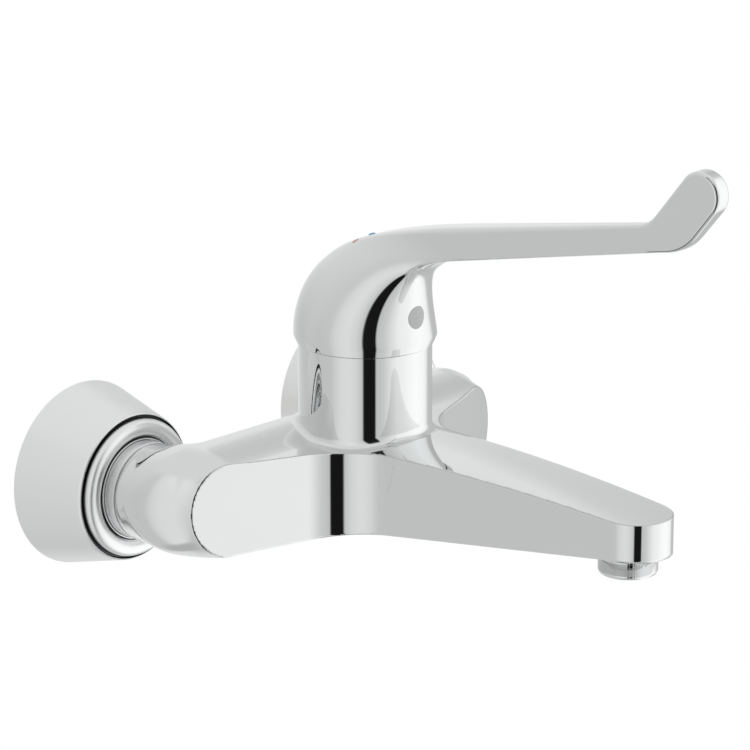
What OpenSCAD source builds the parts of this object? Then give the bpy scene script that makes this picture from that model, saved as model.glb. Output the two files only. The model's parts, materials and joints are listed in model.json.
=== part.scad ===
// Wall-mounted elbow lever tap: a two-hole mixer with a swept spout and a long lever.
// Millimetres. X runs along the wall, the wall is the plane Y = 0, the tap stands out towards -Y, +Z is up.
// The origin lies midway between the two wall tails, on the wall.

/* [Wall connection] */
// Distance between the two wall tails
inlet_spacing = 150; // [140:1:160]
// Height of the body's axis above the wall tails, set by the eccentric unions
union_offset = 7.5; // [5:0.5:9]
// Outside radius of the G1/2 tail that screws into the wall
tail_r = 10.48; // [9.5:0.01:11]
// Length of the tail behind the wall surface
tail_len = 16; // [10:1:30]
// Radius of the waterway in the tail
tail_bore_r = 7.5; // [6:0.5:8]
// Depth in front of the wall at which the eccentric block starts
block_start = 5; // [3:0.5:8]
// Thickness of the eccentric block
block_len = 9; // [7:0.5:12]
// Corner radius of the eccentric block
block_r = 14.5; // [14:0.5:16]
// Outside radius of the G3/4 nipple
nipple_r = 13.22; // [12.8:0.01:13.6]
// Length of the G3/4 nipple
nipple_len = 12; // [10:0.5:15]
// Radius of the waterway in the nipple
nipple_bore_r = 8.5; // [7:0.5:9.5]
// Thickness of the sealing washer
washer_t = 2; // [1.5:0.1:3]
// Outside radius of the tailpiece that screws into the body
tailpiece_r = 9.8; // [9:0.1:11.5]
// Thickness of the tailpiece's collar
collar_t = 3; // [2:0.5:4]
// Depth of thread between tailpiece and body
tailpiece_grip = 13; // [9:0.5:16]
// Thickness of the union nut's shoulder
nut_shoulder = 7; // [5:0.5:9]
// Width across the flats of the union nut
nut_flats = 32; // [30:0.5:33]
// Length of the union nut's round collar
nut_collar_len = 9; // [7:0.5:11]
// Width of the seam between nut and body
seam = 0.3; // [0.2:0.05:0.6]

/* [Escutcheons] */
// Radius of the escutcheon at the wall
escutcheon_r = 37; // [34:0.5:42]
// Radius of the cone at its front edge
escutcheon_front_r = 30; // [28:0.5:33]
// Depth of the cone
escutcheon_depth = 27.5; // [24:0.5:30]
// Radius of the rolled front edge
escutcheon_edge_r = 2; // [1:0.1:3]
// Height of the domed front ring
escutcheon_dome = 4.5; // [3:0.1:6]
// Wall thickness of the escutcheon
escutcheon_wall = 1.6; // [1:0.1:2.5]
// Width of the inner rim, outside which a groove runs
escutcheon_rim = 1.3; // [0.8:0.1:2]

/* [Body] */
// Radius of the necks that run to the wall
neck_r = 19.3; // [18:0.1:20.5]
// Radius of the arms
arm_r = 21.6; // [20:0.1:24]
// Length of each neck between the union nut and the arm's round back
neck_len = 1.6; // [1:0.1:6]
// How far the arms' rounded ends lie inside the inlet axes
arm_end_inset = 5.6; // [0:0.1:8]
// Half height of the arms' front, taken at their axis
face_z = 19.1; // [17.5:0.1:20]
// Slope of the arms' top in front of their round back
flank_angle = 3; // [1:0.5:14]
// Radius of the elbow between each neck and its arm
elbow_r = 20.2; // [19.8:0.1:21]
// How far the elbow's centre lies behind the arms' axis
elbow_inset = 6; // [5:0.5:9]
// Distance from the arms' axis to the front panel at the arm ends
panel_offset = 15.1; // [11:0.1:17]
// Sweep of the front panel towards the spout
panel_angle = 19; // [8:0.5:23]
// Radius of the curve from the front panel into the spout's side
sweep_r = 31; // [24:1:45]
// Radius of the waterway in each arm
arm_bore_r = 9; // [6:0.5:9.5]

/* [Spout] */
// Distance from the tower's axis to the outlet
spout_reach = 133.6; // [110:1:160]
// Half width of the spout, taken at the tower's axis
spout_root = 23.3; // [20:0.1:25]
// Half width of the spout at its round nose
nose_r = 14.6; // [13.5:0.1:16]
// Distance from the outlet to the centre of the nose
nose_offset = 2.6; // [0:0.1:4]
// Height of the spout's ridge above the body's axis
ridge_z = 20.4; // [19:0.1:22]
// Distance from the tower's axis to the highest point of the ridge
ridge_start = 26.6; // [20:0.5:35]
// Radius of the ridge seen from the side
ridge_bow_r = 1048; // [800:10:1500]
// Radius of the spout's crown seen from the front
crown_r = 90; // [45:1:120]
// Depth of the underside below the body's axis, taken at the arms' axis
under_root = 20.2; // [18:0.1:21]
// Depth of the underside at the nose
under_nose = 2.6; // [1:0.1:4]
// Thickness of the spout's side walls
spout_wall = 4; // [3:0.1:5]
// Height of the channel in the spout
channel_h = 11; // [8:0.5:12]

/* [Tower] */
// Distance from the arms' axis to the tower's axis
tower_offset = 21.9; // [20:0.1:24]
// Radius of the tower
tower_r = 26.4; // [26:0.1:28]
// Height of the tower's top above the body's axis
tower_h = 54.2; // [52:0.2:62]
// Radius of the fillet round the foot of the tower
foot_r = 4; // [2:0.5:9]
// Height at which that fillet starts
foot_z = 17.2; // [15:0.1:18]

/* [Cartridge] */
// Radius of the cartridge
cartridge_r = 20; // [19:0.1:20.5]
// Thickness of the cartridge's base
base_t = 6.7; // [6:0.1:8]
// Thickness of each ceramic disc
disc_t = 3.95; // [3:0.05:5]
// Radius of the fixed disc and of the rotor
rotor_r = 16; // [15.5:0.1:17]
// Radius of the moving disc
moving_disc_r = 11.5; // [10:0.1:12]
// Height of the disc carrier
carrier_h = 7.5; // [6:0.1:9]
// Height of the rotor below the housing's lip
rotor_h = 14.9; // [14:0.1:17]
// Radius of the rotor's head
rotor_head_r = 12.3; // [11.5:0.1:13]
// Thickness of the housing's lip
lip_t = 2.8; // [2:0.1:4]
// Height of the lever's pivot above the underside of the rotor
pivot_rise = 9.2; // [8:0.1:11]
// Radius of the pivot pin
pin_r = 2; // [1.5:0.1:2.5]
// Distance from the pivot down to the stem's ball
ball_drop = 11; // [10:0.1:13]
// Radius of the stem's ball
ball_r = 3.4; // [3:0.1:4]
// Width of the square stem
stem_w = 8; // [7:0.1:9]
// Radius of the ports through base and disc
port_r = 3.4; // [2.5:0.1:4]
// Distance from the cartridge's axis to its ports
port_offset = 9; // [8:0.1:10]
// Thickness of the port seals
seal_t = 1.6; // [1.2:0.1:2]
// Outside radius of the retaining nut's thread
retainer_r = 22; // [21.5:0.1:23]
// Height of the retaining nut
retainer_h = 7.8; // [6:0.1:9]
// Half angle over which the lever swivels
swivel_half = 50; // [40:1:60]

/* [Lever] */
// Height of the gap between tower and lever cap
cap_gap = 0.5; // [0.3:0.1:1]
// Radius of the lever cap
cap_r = 28.3; // [28:0.1:30]
// Height of the cap's chamfered lower edge
skirt_h = 3.1; // [2:0.1:5]
// How far that edge draws in
skirt_in = 0.9; // [0.4:0.1:1.2]
// Rise of the cap's back before it turns over
dome_rise = 28; // [22:1:34]
// Run of the cap's top towards the bar
dome_run = 65; // [50:1:75]
// How far the cap's front leans back
front_lean = 6; // [3:0.5:8]
// Rise of the cap's front before it turns under the bar
front_rise = 32; // [27:0.5:36]
// Run of the underside out of that turn
front_run = 10; // [6:0.5:14]
// How fast the cap narrows: a lower power narrows sooner
narrowing = 0.84; // [0.7:0.02:1]
// Distance from the tower's axis to the start of the bar
bar_start = 50.6; // [46:0.2:58]
// Height of the bar's start above the cap's edge
bar_rise = 47.8; // [46:0.2:52]
// Length of the bar
bar_len = 97; // [60:1:130]
// Upward slope of the bar
bar_pitch = 10.6; // [5:0.2:16]
// Half height of the bar at its start
bar_half_h = 6.5; // [5:0.1:8]
// Half height of the bar at the paddle
bar_tip_half_h = 5.4; // [4:0.1:7]
// Half width of the bar
bar_half_w = 6.4; // [5:0.1:8]
// Squareness of the bar's section: 2 is an ellipse
bar_square = 5; // [3:0.5:8]
// Radius of the bend into the paddle
bend_r = 14.5; // [10:0.5:20]
// Upward slope of the paddle
paddle_pitch = 49.5; // [35:0.5:60]
// Length of the paddle past the bend
paddle_len = 27; // [20:0.5:40]
// Half width of the paddle above its centre line
paddle_up = 10.6; // [8:0.1:13]
// Half width of the paddle below its centre line
paddle_down = 8.8; // [7:0.1:11]
// Half thickness of the paddle
paddle_half_t = 4.1; // [3:0.1:6]
// Length over which the bar widens into the paddle
paddle_flare = 18; // [12:0.5:24]
// Length of the paddle's rounded end
paddle_round = 8.6; // [5:0.2:12]
// Height of the grub screw above the cap's edge
screw_rise = 13.8; // [12:0.2:16]
// Radius of the grub screw
screw_r = 2.5; // [2:0.1:3]
// Length of the grub screw
screw_len = 8; // [6:0.5:10]
// Radius of the screw plug
plug_r = 4.6; // [4:0.1:5]
// Thickness of the screw plug
plug_t = 3; // [2:0.1:4]
// Radius of the temperature marks
mark_r = 1.5; // [1:0.1:2]
// Distance of each mark from the lever's middle
mark_side = 6.3; // [5:0.1:8]
// How far the marks lie in front of the tower's axis
mark_front = 0.6; // [0:0.1:2]
// Height of the marks above the cap's edge
mark_rise = 41; // [40:0.1:42]

/* [Aerator] */
// Radius of the aerator below the spout
aerator_r = 11.3; // [10.5:0.1:12]
// Radius of the aerator's thread in the spout
aerator_thread_r = 9.4; // [8.5:0.1:10]
// How far the aerator stands out of the spout
aerator_drop = 8.6; // [6:0.2:11]
// Depth of the aerator's thread in the spout
aerator_grip = 6; // [4:0.5:8]
// Wall thickness of the aerator
aerator_wall = 1.5; // [1:0.1:2]
// Depth of the knurling on the aerator
knurl_depth = 0.4; // [0.2:0.1:0.6]
// Thickness of the aerator's gasket
gasket_t = 1.8; // [1.4:0.1:2.4]

/* [Fits] */
// Radial clearance of a pin or ball that turns
running = 0.05; // [0.02:0.01:0.09]
// Clearance of a piece that lies in its seat
seat = 0.1; // [0.05:0.01:0.2]
// Gap between pieces that move past each other
moving_gap = 0.3; // [0.2:0.05:0.5]

/* [Hidden] */
$fn = 96;
chrome = [0.82, 0.83, 0.84];
brass = [0.78, 0.65, 0.35];
// Overcut that lets a cut pass cleanly through a surface
cut = 1;
// Overlap of two faces that run into each other smoothly
hair = 0.02;
inlet_x = inlet_spacing / 2;

// Stations along a wall connection, as distances from the wall
nipple_d = block_start + block_len;
washer_d = nipple_d + nipple_len;
collar_d = washer_d + washer_t;
shoulder_d = collar_d + collar_t;
nut_end_d = shoulder_d + nut_shoulder;
nut_start_d = nipple_d + 2.5;
neck_d = nut_end_d + seam;
// The nut's collar and the escutcheon follow the neck
nut_collar_r = neck_r + 0.1;
escutcheon_hole_r = nut_collar_r + 0.25;
aerator_collar_r = aerator_r + 0.6;

// Axes of the body, as distances from the wall
arm_x = inlet_x - arm_end_inset;
arm_d = neck_d + neck_len + arm_r;
tower_d = arm_d + tower_offset;
outlet_d = tower_d + spout_reach;
nose_d = outlet_d + nose_offset;

// Front panel and spout side meet at a corner that the sweep rounds off
panel_d = arm_d + panel_offset;
spout_draft = (spout_root - nose_r) / (nose_d - tower_d);
draft_angle = atan(spout_draft);
// The round nose stands proud of the spout's sides by this much, so that the two cross
nose_lap = 0.15;
under_rise = (under_root - under_nose) / (nose_d - arm_d);
panel_slope = tan(panel_angle);
corner_d = (panel_d + panel_slope * (inlet_x - spout_root - spout_draft * tower_d)) / (1 - panel_slope * spout_draft);
corner = [spout_root - spout_draft * (corner_d - tower_d), -corner_d];
panel_normal = [sin(panel_angle), -cos(panel_angle)];
side_normal = [cos(draft_angle), -sin(draft_angle)];
sweep_centre = corner + sweep_r * (panel_normal + side_normal) / (1 + panel_normal * side_normal);
far_x = inlet_x + arm_r + 5;

// Heights in the tower, above the body's axis
lip_z = tower_h - 1.7 - lip_t;
rotor_z = lip_z - rotor_h;
carrier_z = rotor_z - moving_gap - carrier_h;
moving_disc_z = carrier_z - disc_t;
fixed_disc_z = moving_disc_z - running - disc_t;
base_z = fixed_disc_z - base_t;
floor_z = base_z - moving_gap;
pivot_z = rotor_z + pivot_rise;
ball_z = pivot_z - ball_drop;
head_z = tower_h - 0.2;
retainer_z = tower_h - 0.4 - retainer_h;
chamber_r = cartridge_r + seat;
bore_r = rotor_r + running;
housing_neck_r = rotor_r + 1.7;
// The stem's slot in the rotor leaves room for its tilt
slot_half = stem_w / 2 + 4.2;
stem_top_z = tower_h + 17.8;

// Lever: its skin is lofted from the cap's edge to the paddle, as forward distance and height
rim_z = tower_h + cap_gap;
cap_z = rim_z + skirt_h;
boss_z = tower_h + 5.8;
mark_tilt = 22;
mark_turn = 19;
screw_z = rim_z + screw_rise;
cavity_top_z = rim_z + 19.5;
bar_dir = [cos(bar_pitch), sin(bar_pitch)];
bar_up = [-sin(bar_pitch), cos(bar_pitch)];
bar_foot = [bar_start, rim_z + bar_rise];
bar_end = bar_foot + bar_len * bar_dir;
bend_len = bend_r * (paddle_pitch - bar_pitch) * PI / 180;
lever_len = bar_len + bend_len + paddle_len;
flare_start = bar_len - 5;
cap_steps = 26;
bar_steps = 12;
paddle_steps = 16;
tip_steps = 7;
section_points = 40;

function ease(x) = let (c = min(max(x, 0), 1)) c * c * (3 - 2 * c);
function mix(a, b, t) = a + (b - a) * t;
function bezier(p, t) =
    pow(1 - t, 3) * p[0] + 3 * pow(1 - t, 2) * t * p[1] + 3 * (1 - t) * t * t * p[2] + pow(t, 3) * p[3];
function signed_pow(v, e) = sign(v) * pow(abs(v), e);

// A section is its upper point, its lower point, its half width and its squareness
function cap_back() = let (foot = [-cap_r, cap_z], end = bar_foot + bar_half_h * bar_up)
    [foot, foot + [0, dome_rise], end - dome_run * bar_dir, end];
function cap_front() = let (foot = [cap_r, cap_z], end = bar_foot - bar_half_h * bar_up)
    [foot, foot + [-front_lean, front_rise], end - front_run * bar_dir, end];
function cap_section(t) = [
    bezier(cap_back(), t),
    bezier(cap_front(), t),
    mix(cap_r, bar_half_w, ease(pow(t, narrowing))),
    mix(2, bar_square, ease((t - 0.45) / 0.55))];

// Centre line and slope of bar, bend and paddle at the distance s from the bar's foot
function arm_slope(s) = mix(bar_pitch, paddle_pitch, min(max((s - bar_len) / bend_len, 0), 1));
function bend_point(a) = bar_end + bend_r * [sin(a) - sin(bar_pitch), cos(bar_pitch) - cos(a)];
function arm_point(s) =
    s <= bar_len ? bar_foot + s * bar_dir
    : s <= bar_len + bend_len ? bend_point(arm_slope(s))
    : bend_point(paddle_pitch) + (s - bar_len - bend_len) * [cos(paddle_pitch), sin(paddle_pitch)];
function arm_section(s) = let (
    a = arm_slope(s),
    up = [-sin(a), cos(a)],
    taper = min(s / bar_len, 1),
    flare = ease((s - flare_start) / paddle_flare),
    h = mix(bar_half_h, bar_tip_half_h, taper),
    u = max((s - lever_len + paddle_round) / paddle_round, 0),
    round_off = sqrt(1 - u * u))
    [arm_point(s) + up * mix(h, paddle_up, flare) * round_off,
     arm_point(s) - up * mix(h, paddle_down, flare) * round_off,
     mix(bar_half_w, paddle_half_t, flare) * sqrt(1 - pow(u, 4)),
     bar_square];

function section_ring(s) = let (c = (s[0] + s[1]) / 2, d = (s[0] - s[1]) / 2)
    [for (i = [0:section_points - 1])
        let (a = 360 * i / section_points,
             v = signed_pow(cos(a), 2 / s[3]))
        [s[2] * signed_pow(sin(a), 2 / s[3]), -(tower_d + c[0] + d[0] * v), c[1] + d[1] * v]];

// Pieces that belong to the body's axis are drawn from it
module raised() {
    translate([0, 0, union_offset])
    children();
}

// The tower's axis, with heights above the body's axis
module on_tower() {
    translate([0, -tower_d, union_offset])
    children();
}

// A round outline with a ring of pointed teeth
module toothed_outline(r, depth, teeth) {
    polygon([for (k = [0:2 * teeth - 1]) let (a = 180 * k / teeth, v = r - depth * (k % 2)) [v * cos(a), v * sin(a)]]);
}

// A wall connection: local z is the distance from the wall, local y is up
module at_inlet(side) {
    translate([side * inlet_x, 0, union_offset])
    rotate([90, 0, 0])
    children();
}

// A ring with a square section
module tube(r_out, r_in, h) {
    difference() {
        cylinder(r = r_out, h = h);
        translate([0, 0, -cut])
        cylinder(r = r_in, h = h + 2 * cut);
    }
}

// Outline of arms and spout from above, without the nose. The sweep is cut a hair past the lines that it joins,
// so that it crosses them.
module plan_outline() {
    far_y = -panel_d + panel_slope * (far_x - inlet_x);
    half = [[far_x, 0], [far_x, far_y], sweep_centre - sweep_r * panel_normal, sweep_centre,
            sweep_centre - sweep_r * side_normal, [nose_r, -nose_d]];
    other_half = [for (i = [len(half) - 1:-1:0]) [-half[i][0], half[i][1]]];
    difference() {
        polygon(concat(half, other_half));
        for (side = [-1, 1])
            translate([side * sweep_centre[0], sweep_centre[1]])
            circle(r = sweep_r + hair);
    }
}

// Everything inside the plan outline
module plan_prism() {
    linear_extrude(height = 4 * tower_h, center = true)
    plan_outline();
    translate([0, -nose_d, 0])
    cylinder(r = nose_r + nose_lap, h = 4 * tower_h, center = true);
}

// Section of an arm, with x forward and y up: a round back, and a front between a sloping top and the underside
module arm_profile() {
    front_x = corner_d - arm_d + arm_r;
    front_y = face_z - front_x * tan(flank_angle);
    under = under_root - hair;
    circle(r = arm_r);
    polygon([[0, face_z], [front_x, front_y], [front_x, under_rise * front_x - under], [0, -under]]);
}

// Half section of a neck along its axis, from its back to the front of the elbow
module neck_profile() {
    centre = arm_d - elbow_inset - neck_d;
    square([neck_r, centre]);
    intersection() {
        translate([0, centre])
        circle(r = elbow_r);
        square([2 * elbow_r, 2 * arm_d]);
    }
}

// Arms: the section runs along the wall and turns about an axis square to the wall at both ends
module arms() {
    translate([0, -arm_d, 0])
    rotate([90, 0, -90])
    linear_extrude(height = 2 * arm_x, center = true)
    arm_profile();
    for (side = [-1, 1])
        translate([side * arm_x, -arm_d, 0])
        rotate([90, 0, 0])
        rotate([0, 0, -side * 90])
        rotate_extrude(angle = 180)
        intersection() {
            rotate(90)
            arm_profile();
            translate([0, -2 * tower_d])
            square([2 * arm_r, 4 * tower_d]);
        }
}

// Spout: a bowed and crowned top over a rising underside
module spout() {
    root_w = 2.6 * tower_r;
    length = nose_d - arm_d;
    front = length + nose_r + cut;
    intersection() {
        translate([0, -arm_d, 0])
        rotate([90, 0, -90])
        linear_extrude(height = root_w, center = true)
        polygon([[0, -under_root], [length, -under_nose], [front, -under_nose], [front, 2 * ridge_z],
                 [0, 2 * ridge_z]]);
        spout_crown();
    }
}

// The crown's surface is a wide ring that stands on edge, with its highest point on the ridge
module spout_crown() {
    sweep = 12;
    translate([0, -tower_d - ridge_start, ridge_z - ridge_bow_r])
    rotate([0, 90, 0])
    rotate([0, 0, 180 - sweep])
    rotate_extrude(angle = 2 * sweep, $fn = 360)
    translate([ridge_bow_r - crown_r, 0])
    circle(r = crown_r);
}

// Tower with a fillet round its foot
module tower() {
    translate([0, -tower_d, 0]) {
        cylinder(r = tower_r, h = tower_h);
        cylinder(r = tower_r + foot_r, h = foot_z);
        translate([0, 0, foot_z])
        rotate_extrude()
        difference() {
            square([tower_r + foot_r, foot_r]);
            translate([tower_r + foot_r, foot_r])
            circle(r = foot_r);
        }
    }
}

// Waterways, cartridge chamber and aerator seat
module body_cuts() {
    port_d = tower_d - port_offset / 2;
    for (side = [-1, 1]) {
        translate([side * inlet_x, -neck_d + cut, 0])
        rotate([90, 0, 0]) {
            cylinder(r = tailpiece_r + seat, h = tailpiece_grip + cut);
            cylinder(r = tail_bore_r, h = arm_d - neck_d + cut);
        }
        translate([side * inlet_x, -arm_d, 0])
        rotate([0, -side * 90, 0])
        cylinder(r = arm_bore_r, h = inlet_x - chamber_r);
        translate([side * inlet_x, -arm_d, 0])
        rotate([0, -side * 90, 0])
        cylinder(r = port_r, h = inlet_x - port_offset + port_r / 2);
        translate([side * port_offset, -arm_d, 0])
        rotate([90, 0, 0])
        cylinder(r = port_r, h = port_d - arm_d);
        translate([side * port_offset, -port_d, 0])
        cylinder(r = port_r, h = floor_z + cut);
    }
    translate([0, -tower_d - port_offset, 0])
    cylinder(r = port_r, h = floor_z + cut);
    spout_channel();
    translate([0, -outlet_d, -under_nose - cut])
    cylinder(r = aerator_thread_r + seat, h = aerator_grip + gasket_t + cut);
    // Flat seat for the aerator's collar in the sloping underside
    translate([0, -outlet_d, -under_nose - under_root])
    cylinder(r = aerator_collar_r + moving_gap, h = under_root);
    translate([0, -tower_d, floor_z])
    cylinder(r = chamber_r, h = tower_h);
    translate([0, -tower_d, retainer_z - 1])
    cylinder(r = retainer_r + seat, h = tower_h);
}

// Channel in the spout, which follows its taper and rises towards the aerator's seat
module spout_channel() {
    start = port_offset - port_r;
    end = outlet_d - tower_d + 4;
    start_w = spout_root - spout_draft * start - spout_wall;
    end_w = spout_root - spout_draft * end - spout_wall;
    rise = atan(under_rise) / 2;
    translate([0, -tower_d, -channel_h / 2 - 1])
    rotate([-rise, 0, 0])
    linear_extrude(height = channel_h)
    polygon([[-start_w, -start], [start_w, -start], [end_w, -end], [-end_w, -end]]);
}

module body() {
    color(chrome)
    raised()
    difference() {
        union() {
            intersection() {
                plan_prism();
                union() {
                    arms();
                    spout();
                    tower();
                    for (side = [-1, 1])
                        translate([side * inlet_x, -neck_d, 0])
                        rotate([90, 0, 0])
                        rotate_extrude()
                        neck_profile();
                }
            }
        }
        body_cuts();
    }
}

// Escutcheon: a hollow cone with a rolled edge, a domed front ring and a grooved inner rim
module escutcheon_profile() {
    edge_d = escutcheon_depth;
    ring_r = escutcheon_front_r - escutcheon_edge_r;
    ring_in = escutcheon_hole_r + escutcheon_rim;
    front_d = edge_d + escutcheon_dome;
    steps = 8;
    groove = 0.7;
    outer = [for (k = [0:steps]) let (a = 90 * k / steps)
        [ring_r + escutcheon_edge_r * cos(a), edge_d + escutcheon_edge_r * sin(a)]];
    ring = [for (k = [1:steps]) let (a = 90 * k / steps)
        [ring_in + groove + (ring_r - ring_in - groove) * cos(a), edge_d + escutcheon_edge_r
            + (escutcheon_dome - escutcheon_edge_r) * sin(a)]];
    difference() {
        polygon(concat([[escutcheon_hole_r, 0], [escutcheon_r, 0]], outer, ring,
            [[ring_in + groove, front_d - 1.5], [ring_in, front_d - 1.5], [ring_in, front_d - 0.2],
             [ring_in - escutcheon_rim / 2, front_d], [escutcheon_hole_r, front_d - 0.4]]));
        polygon([[0, -cut], [escutcheon_r - escutcheon_wall, -cut],
            [escutcheon_r - escutcheon_wall, 0], [ring_r - escutcheon_wall / 2, edge_d],
            [escutcheon_hole_r, edge_d]]);
    }
}

module escutcheon(side) {
    color(chrome)
    at_inlet(side)
    rotate_extrude()
    escutcheon_profile();
}

// Eccentric union: a threaded tail, an oblong block and a threaded nipple on the body's axis
module s_union(side) {
    color(brass)
    at_inlet(side)
    difference() {
        union() {
            translate([0, -union_offset, -tail_len])
            cylinder(r = tail_r, h = tail_len + block_start);
            translate([0, 0, block_start])
            linear_extrude(height = block_len) {
                circle(r = block_r);
                translate([0, -union_offset])
                circle(r = block_r);
                translate([-block_r, -union_offset])
                square([2 * block_r, union_offset]);
            }
            translate([0, 0, nipple_d])
            cylinder(r = nipple_r, h = nipple_len);
        }
        translate([0, -union_offset, -tail_len - cut])
        cylinder(r = tail_bore_r, h = tail_len + block_start + block_len * 0.6 + cut);
        translate([0, 0, block_start + block_len * 0.4])
        cylinder(r = nipple_bore_r, h = block_len + nipple_len);
    }
}

// Union nut: a hexagon under the escutcheon and a round collar that shows
module union_nut(side) {
    color(chrome)
    at_inlet(side)
    difference() {
        union() {
            translate([0, 0, nut_start_d])
            cylinder(r = nut_flats / 2 / cos(30), h = nut_end_d - nut_start_d, $fn = 6);
            translate([0, 0, nut_end_d - nut_collar_len])
            cylinder(r = nut_collar_r, h = nut_collar_len);
        }
        translate([0, 0, nut_start_d - cut])
        cylinder(r = nipple_r + seat, h = shoulder_d - nut_start_d + cut);
        cylinder(r = tailpiece_r + seat, h = nut_end_d + cut);
    }
}

// Tailpiece: a tube with a collar that the union nut draws against the washer
module tailpiece(side) {
    color(brass)
    at_inlet(side)
    translate([0, 0, collar_d])
    difference() {
        union() {
            cylinder(r = nipple_r - 0.4, h = collar_t);
            cylinder(r = tailpiece_r, h = neck_d + tailpiece_grip - collar_d - seat);
        }
        translate([0, 0, -cut])
        cylinder(r = tail_bore_r, h = neck_d + tailpiece_grip);
    }
}

module washer(side) {
    color([0.45, 0.32, 0.22])
    at_inlet(side)
    translate([0, 0, washer_d])
    tube(nipple_r - 0.5, nipple_bore_r + seat, washer_t);
}

// Strainer: a flanged cup that reaches into the nipple
module strainer(side) {
    flange_t = 1;
    cup_r = nipple_bore_r - 1.5;
    cup_len = nipple_len - 1;
    color([0.7, 0.71, 0.72])
    at_inlet(side)
    translate([0, 0, collar_d - flange_t])
    difference() {
        union() {
            cylinder(r = nipple_bore_r - seat, h = flange_t);
            translate([0, 0, -cup_len])
            cylinder(r = cup_r, h = cup_len + flange_t);
        }
        translate([0, 0, -cup_len + flange_t])
        cylinder(r = cup_r - 0.8, h = cup_len + 2 * flange_t);
    }
}

// Where the two inlets and the outlet pass through base and fixed disc
module at_ports() {
    for (side = [-1, 1])
        translate([side * port_offset, port_offset / 2, 0])
        children();
    translate([0, -port_offset, 0])
    children();
}

module cartridge_base() {
    color([0.2, 0.3, 0.55])
    on_tower()
    translate([0, 0, base_z])
    difference() {
        cylinder(r = cartridge_r, h = base_t);
        at_ports() {
            translate([0, 0, -cut])
            cylinder(r = port_r, h = base_t + 2 * cut);
            translate([0, 0, -cut])
            cylinder(r = port_r + seal_t + seat, h = seal_t - moving_gap + cut);
            translate([0, 0, base_t - seal_t])
            cylinder(r = port_r + seal_t + seat, h = seal_t + cut);
        }
    }
}

// Rings that seal the ports against the chamber's floor
module base_seals() {
    color([0.1, 0.1, 0.1])
    on_tower()
    translate([0, 0, floor_z])
    at_ports()
    tube(port_r + seal_t, port_r, seal_t);
}

// Rings that seal the ports against the fixed disc
module disc_seals() {
    color([0.1, 0.1, 0.1])
    on_tower()
    translate([0, 0, fixed_disc_z - seal_t])
    at_ports()
    tube(port_r + seal_t, port_r, seal_t);
}

module fixed_disc() {
    color([0.93, 0.92, 0.88])
    on_tower()
    translate([0, 0, fixed_disc_z])
    difference() {
        cylinder(r = rotor_r, h = disc_t);
        at_ports()
        translate([0, 0, -cut])
        cylinder(r = port_r, h = disc_t + 2 * cut);
    }
}

// Moving disc: a mixing pocket in its underside joins the ports when it slides
module moving_disc() {
    color([0.95, 0.94, 0.9])
    on_tower()
    translate([0, 0, moving_disc_z])
    difference() {
        cylinder(r = moving_disc_r, h = disc_t);
        translate([0, 0, -cut])
        cylinder(r = moving_disc_r - 4, h = disc_t / 2 + cut);
    }
}

// Carrier: holds the moving disc and takes the stem's ball in a round pocket
module disc_carrier() {
    color([0.85, 0.85, 0.82])
    on_tower()
    difference() {
        translate([0, 0, carrier_z])
        cylinder(r = moving_disc_r, h = carrier_h);
        translate([0, 0, ball_z - ball_r - 1.4])
        cylinder(r = ball_r + running, h = carrier_h + ball_r);
    }
}

module cartridge_housing() {
    shoulder_h = retainer_z - fixed_disc_z;
    color([0.88, 0.88, 0.86])
    on_tower()
    translate([0, 0, fixed_disc_z])
    difference() {
        union() {
            cylinder(r = cartridge_r, h = shoulder_h);
            cylinder(r = housing_neck_r, h = lip_z + lip_t - fixed_disc_z);
        }
        translate([0, 0, -cut])
        cylinder(r = bore_r, h = lip_z - fixed_disc_z + cut);
        cylinder(r = rotor_head_r + seat, h = tower_h);
    }
}

// Rotor: turns in the housing with the lever and carries the pivot pin
module rotor() {
    notch_half = swivel_half + 8;
    color([0.75, 0.2, 0.2])
    on_tower()
    difference() {
        union() {
            translate([0, 0, rotor_z])
            cylinder(r = rotor_r, h = rotor_h - seat);
            translate([0, 0, rotor_z])
            cylinder(r = rotor_head_r, h = head_z - rotor_z);
        }
        translate([-stem_w / 2 - moving_gap, -slot_half, rotor_z - cut])
        cube([stem_w + 2 * moving_gap, 2 * slot_half, head_z - rotor_z + 2 * cut]);
        translate([-rotor_r - cut, 0, pivot_z])
        rotate([0, 90, 0])
        cylinder(r = pin_r, h = 2 * rotor_r + 2 * cut);
        // Notch that the limiter's lug runs in
        translate([0, 0, lip_z + lip_t - seat])
        rotate([0, 0, 90 - notch_half])
        rotate_extrude(angle = 2 * notch_half)
        translate([rotor_head_r - 1.6, 0])
        square([rotor_r, tower_h]);
    }
}

module pivot_pin() {
    color([0.7, 0.7, 0.72])
    on_tower()
    translate([-rotor_head_r, 0, pivot_z])
    rotate([0, 90, 0])
    cylinder(r = pin_r, h = 2 * rotor_head_r);
}

// Stem: a square bar that the lever clamps on, with a ball that drives the disc carrier
module stem() {
    neck = stem_w * 0.55;
    color([0.72, 0.73, 0.75])
    on_tower()
    difference() {
        union() {
            translate([-stem_w / 2, -stem_w / 2, pivot_z - stem_w / 2])
            cube([stem_w, stem_w, stem_top_z - pivot_z + stem_w / 2]);
            translate([0, 0, ball_z])
            cylinder(d = neck, h = pivot_z - ball_z);
            translate([0, 0, ball_z])
            sphere(r = ball_r);
        }
        translate([-stem_w, 0, pivot_z])
        rotate([0, 90, 0])
        cylinder(r = pin_r + running, h = 2 * stem_w);
    }
}

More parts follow.
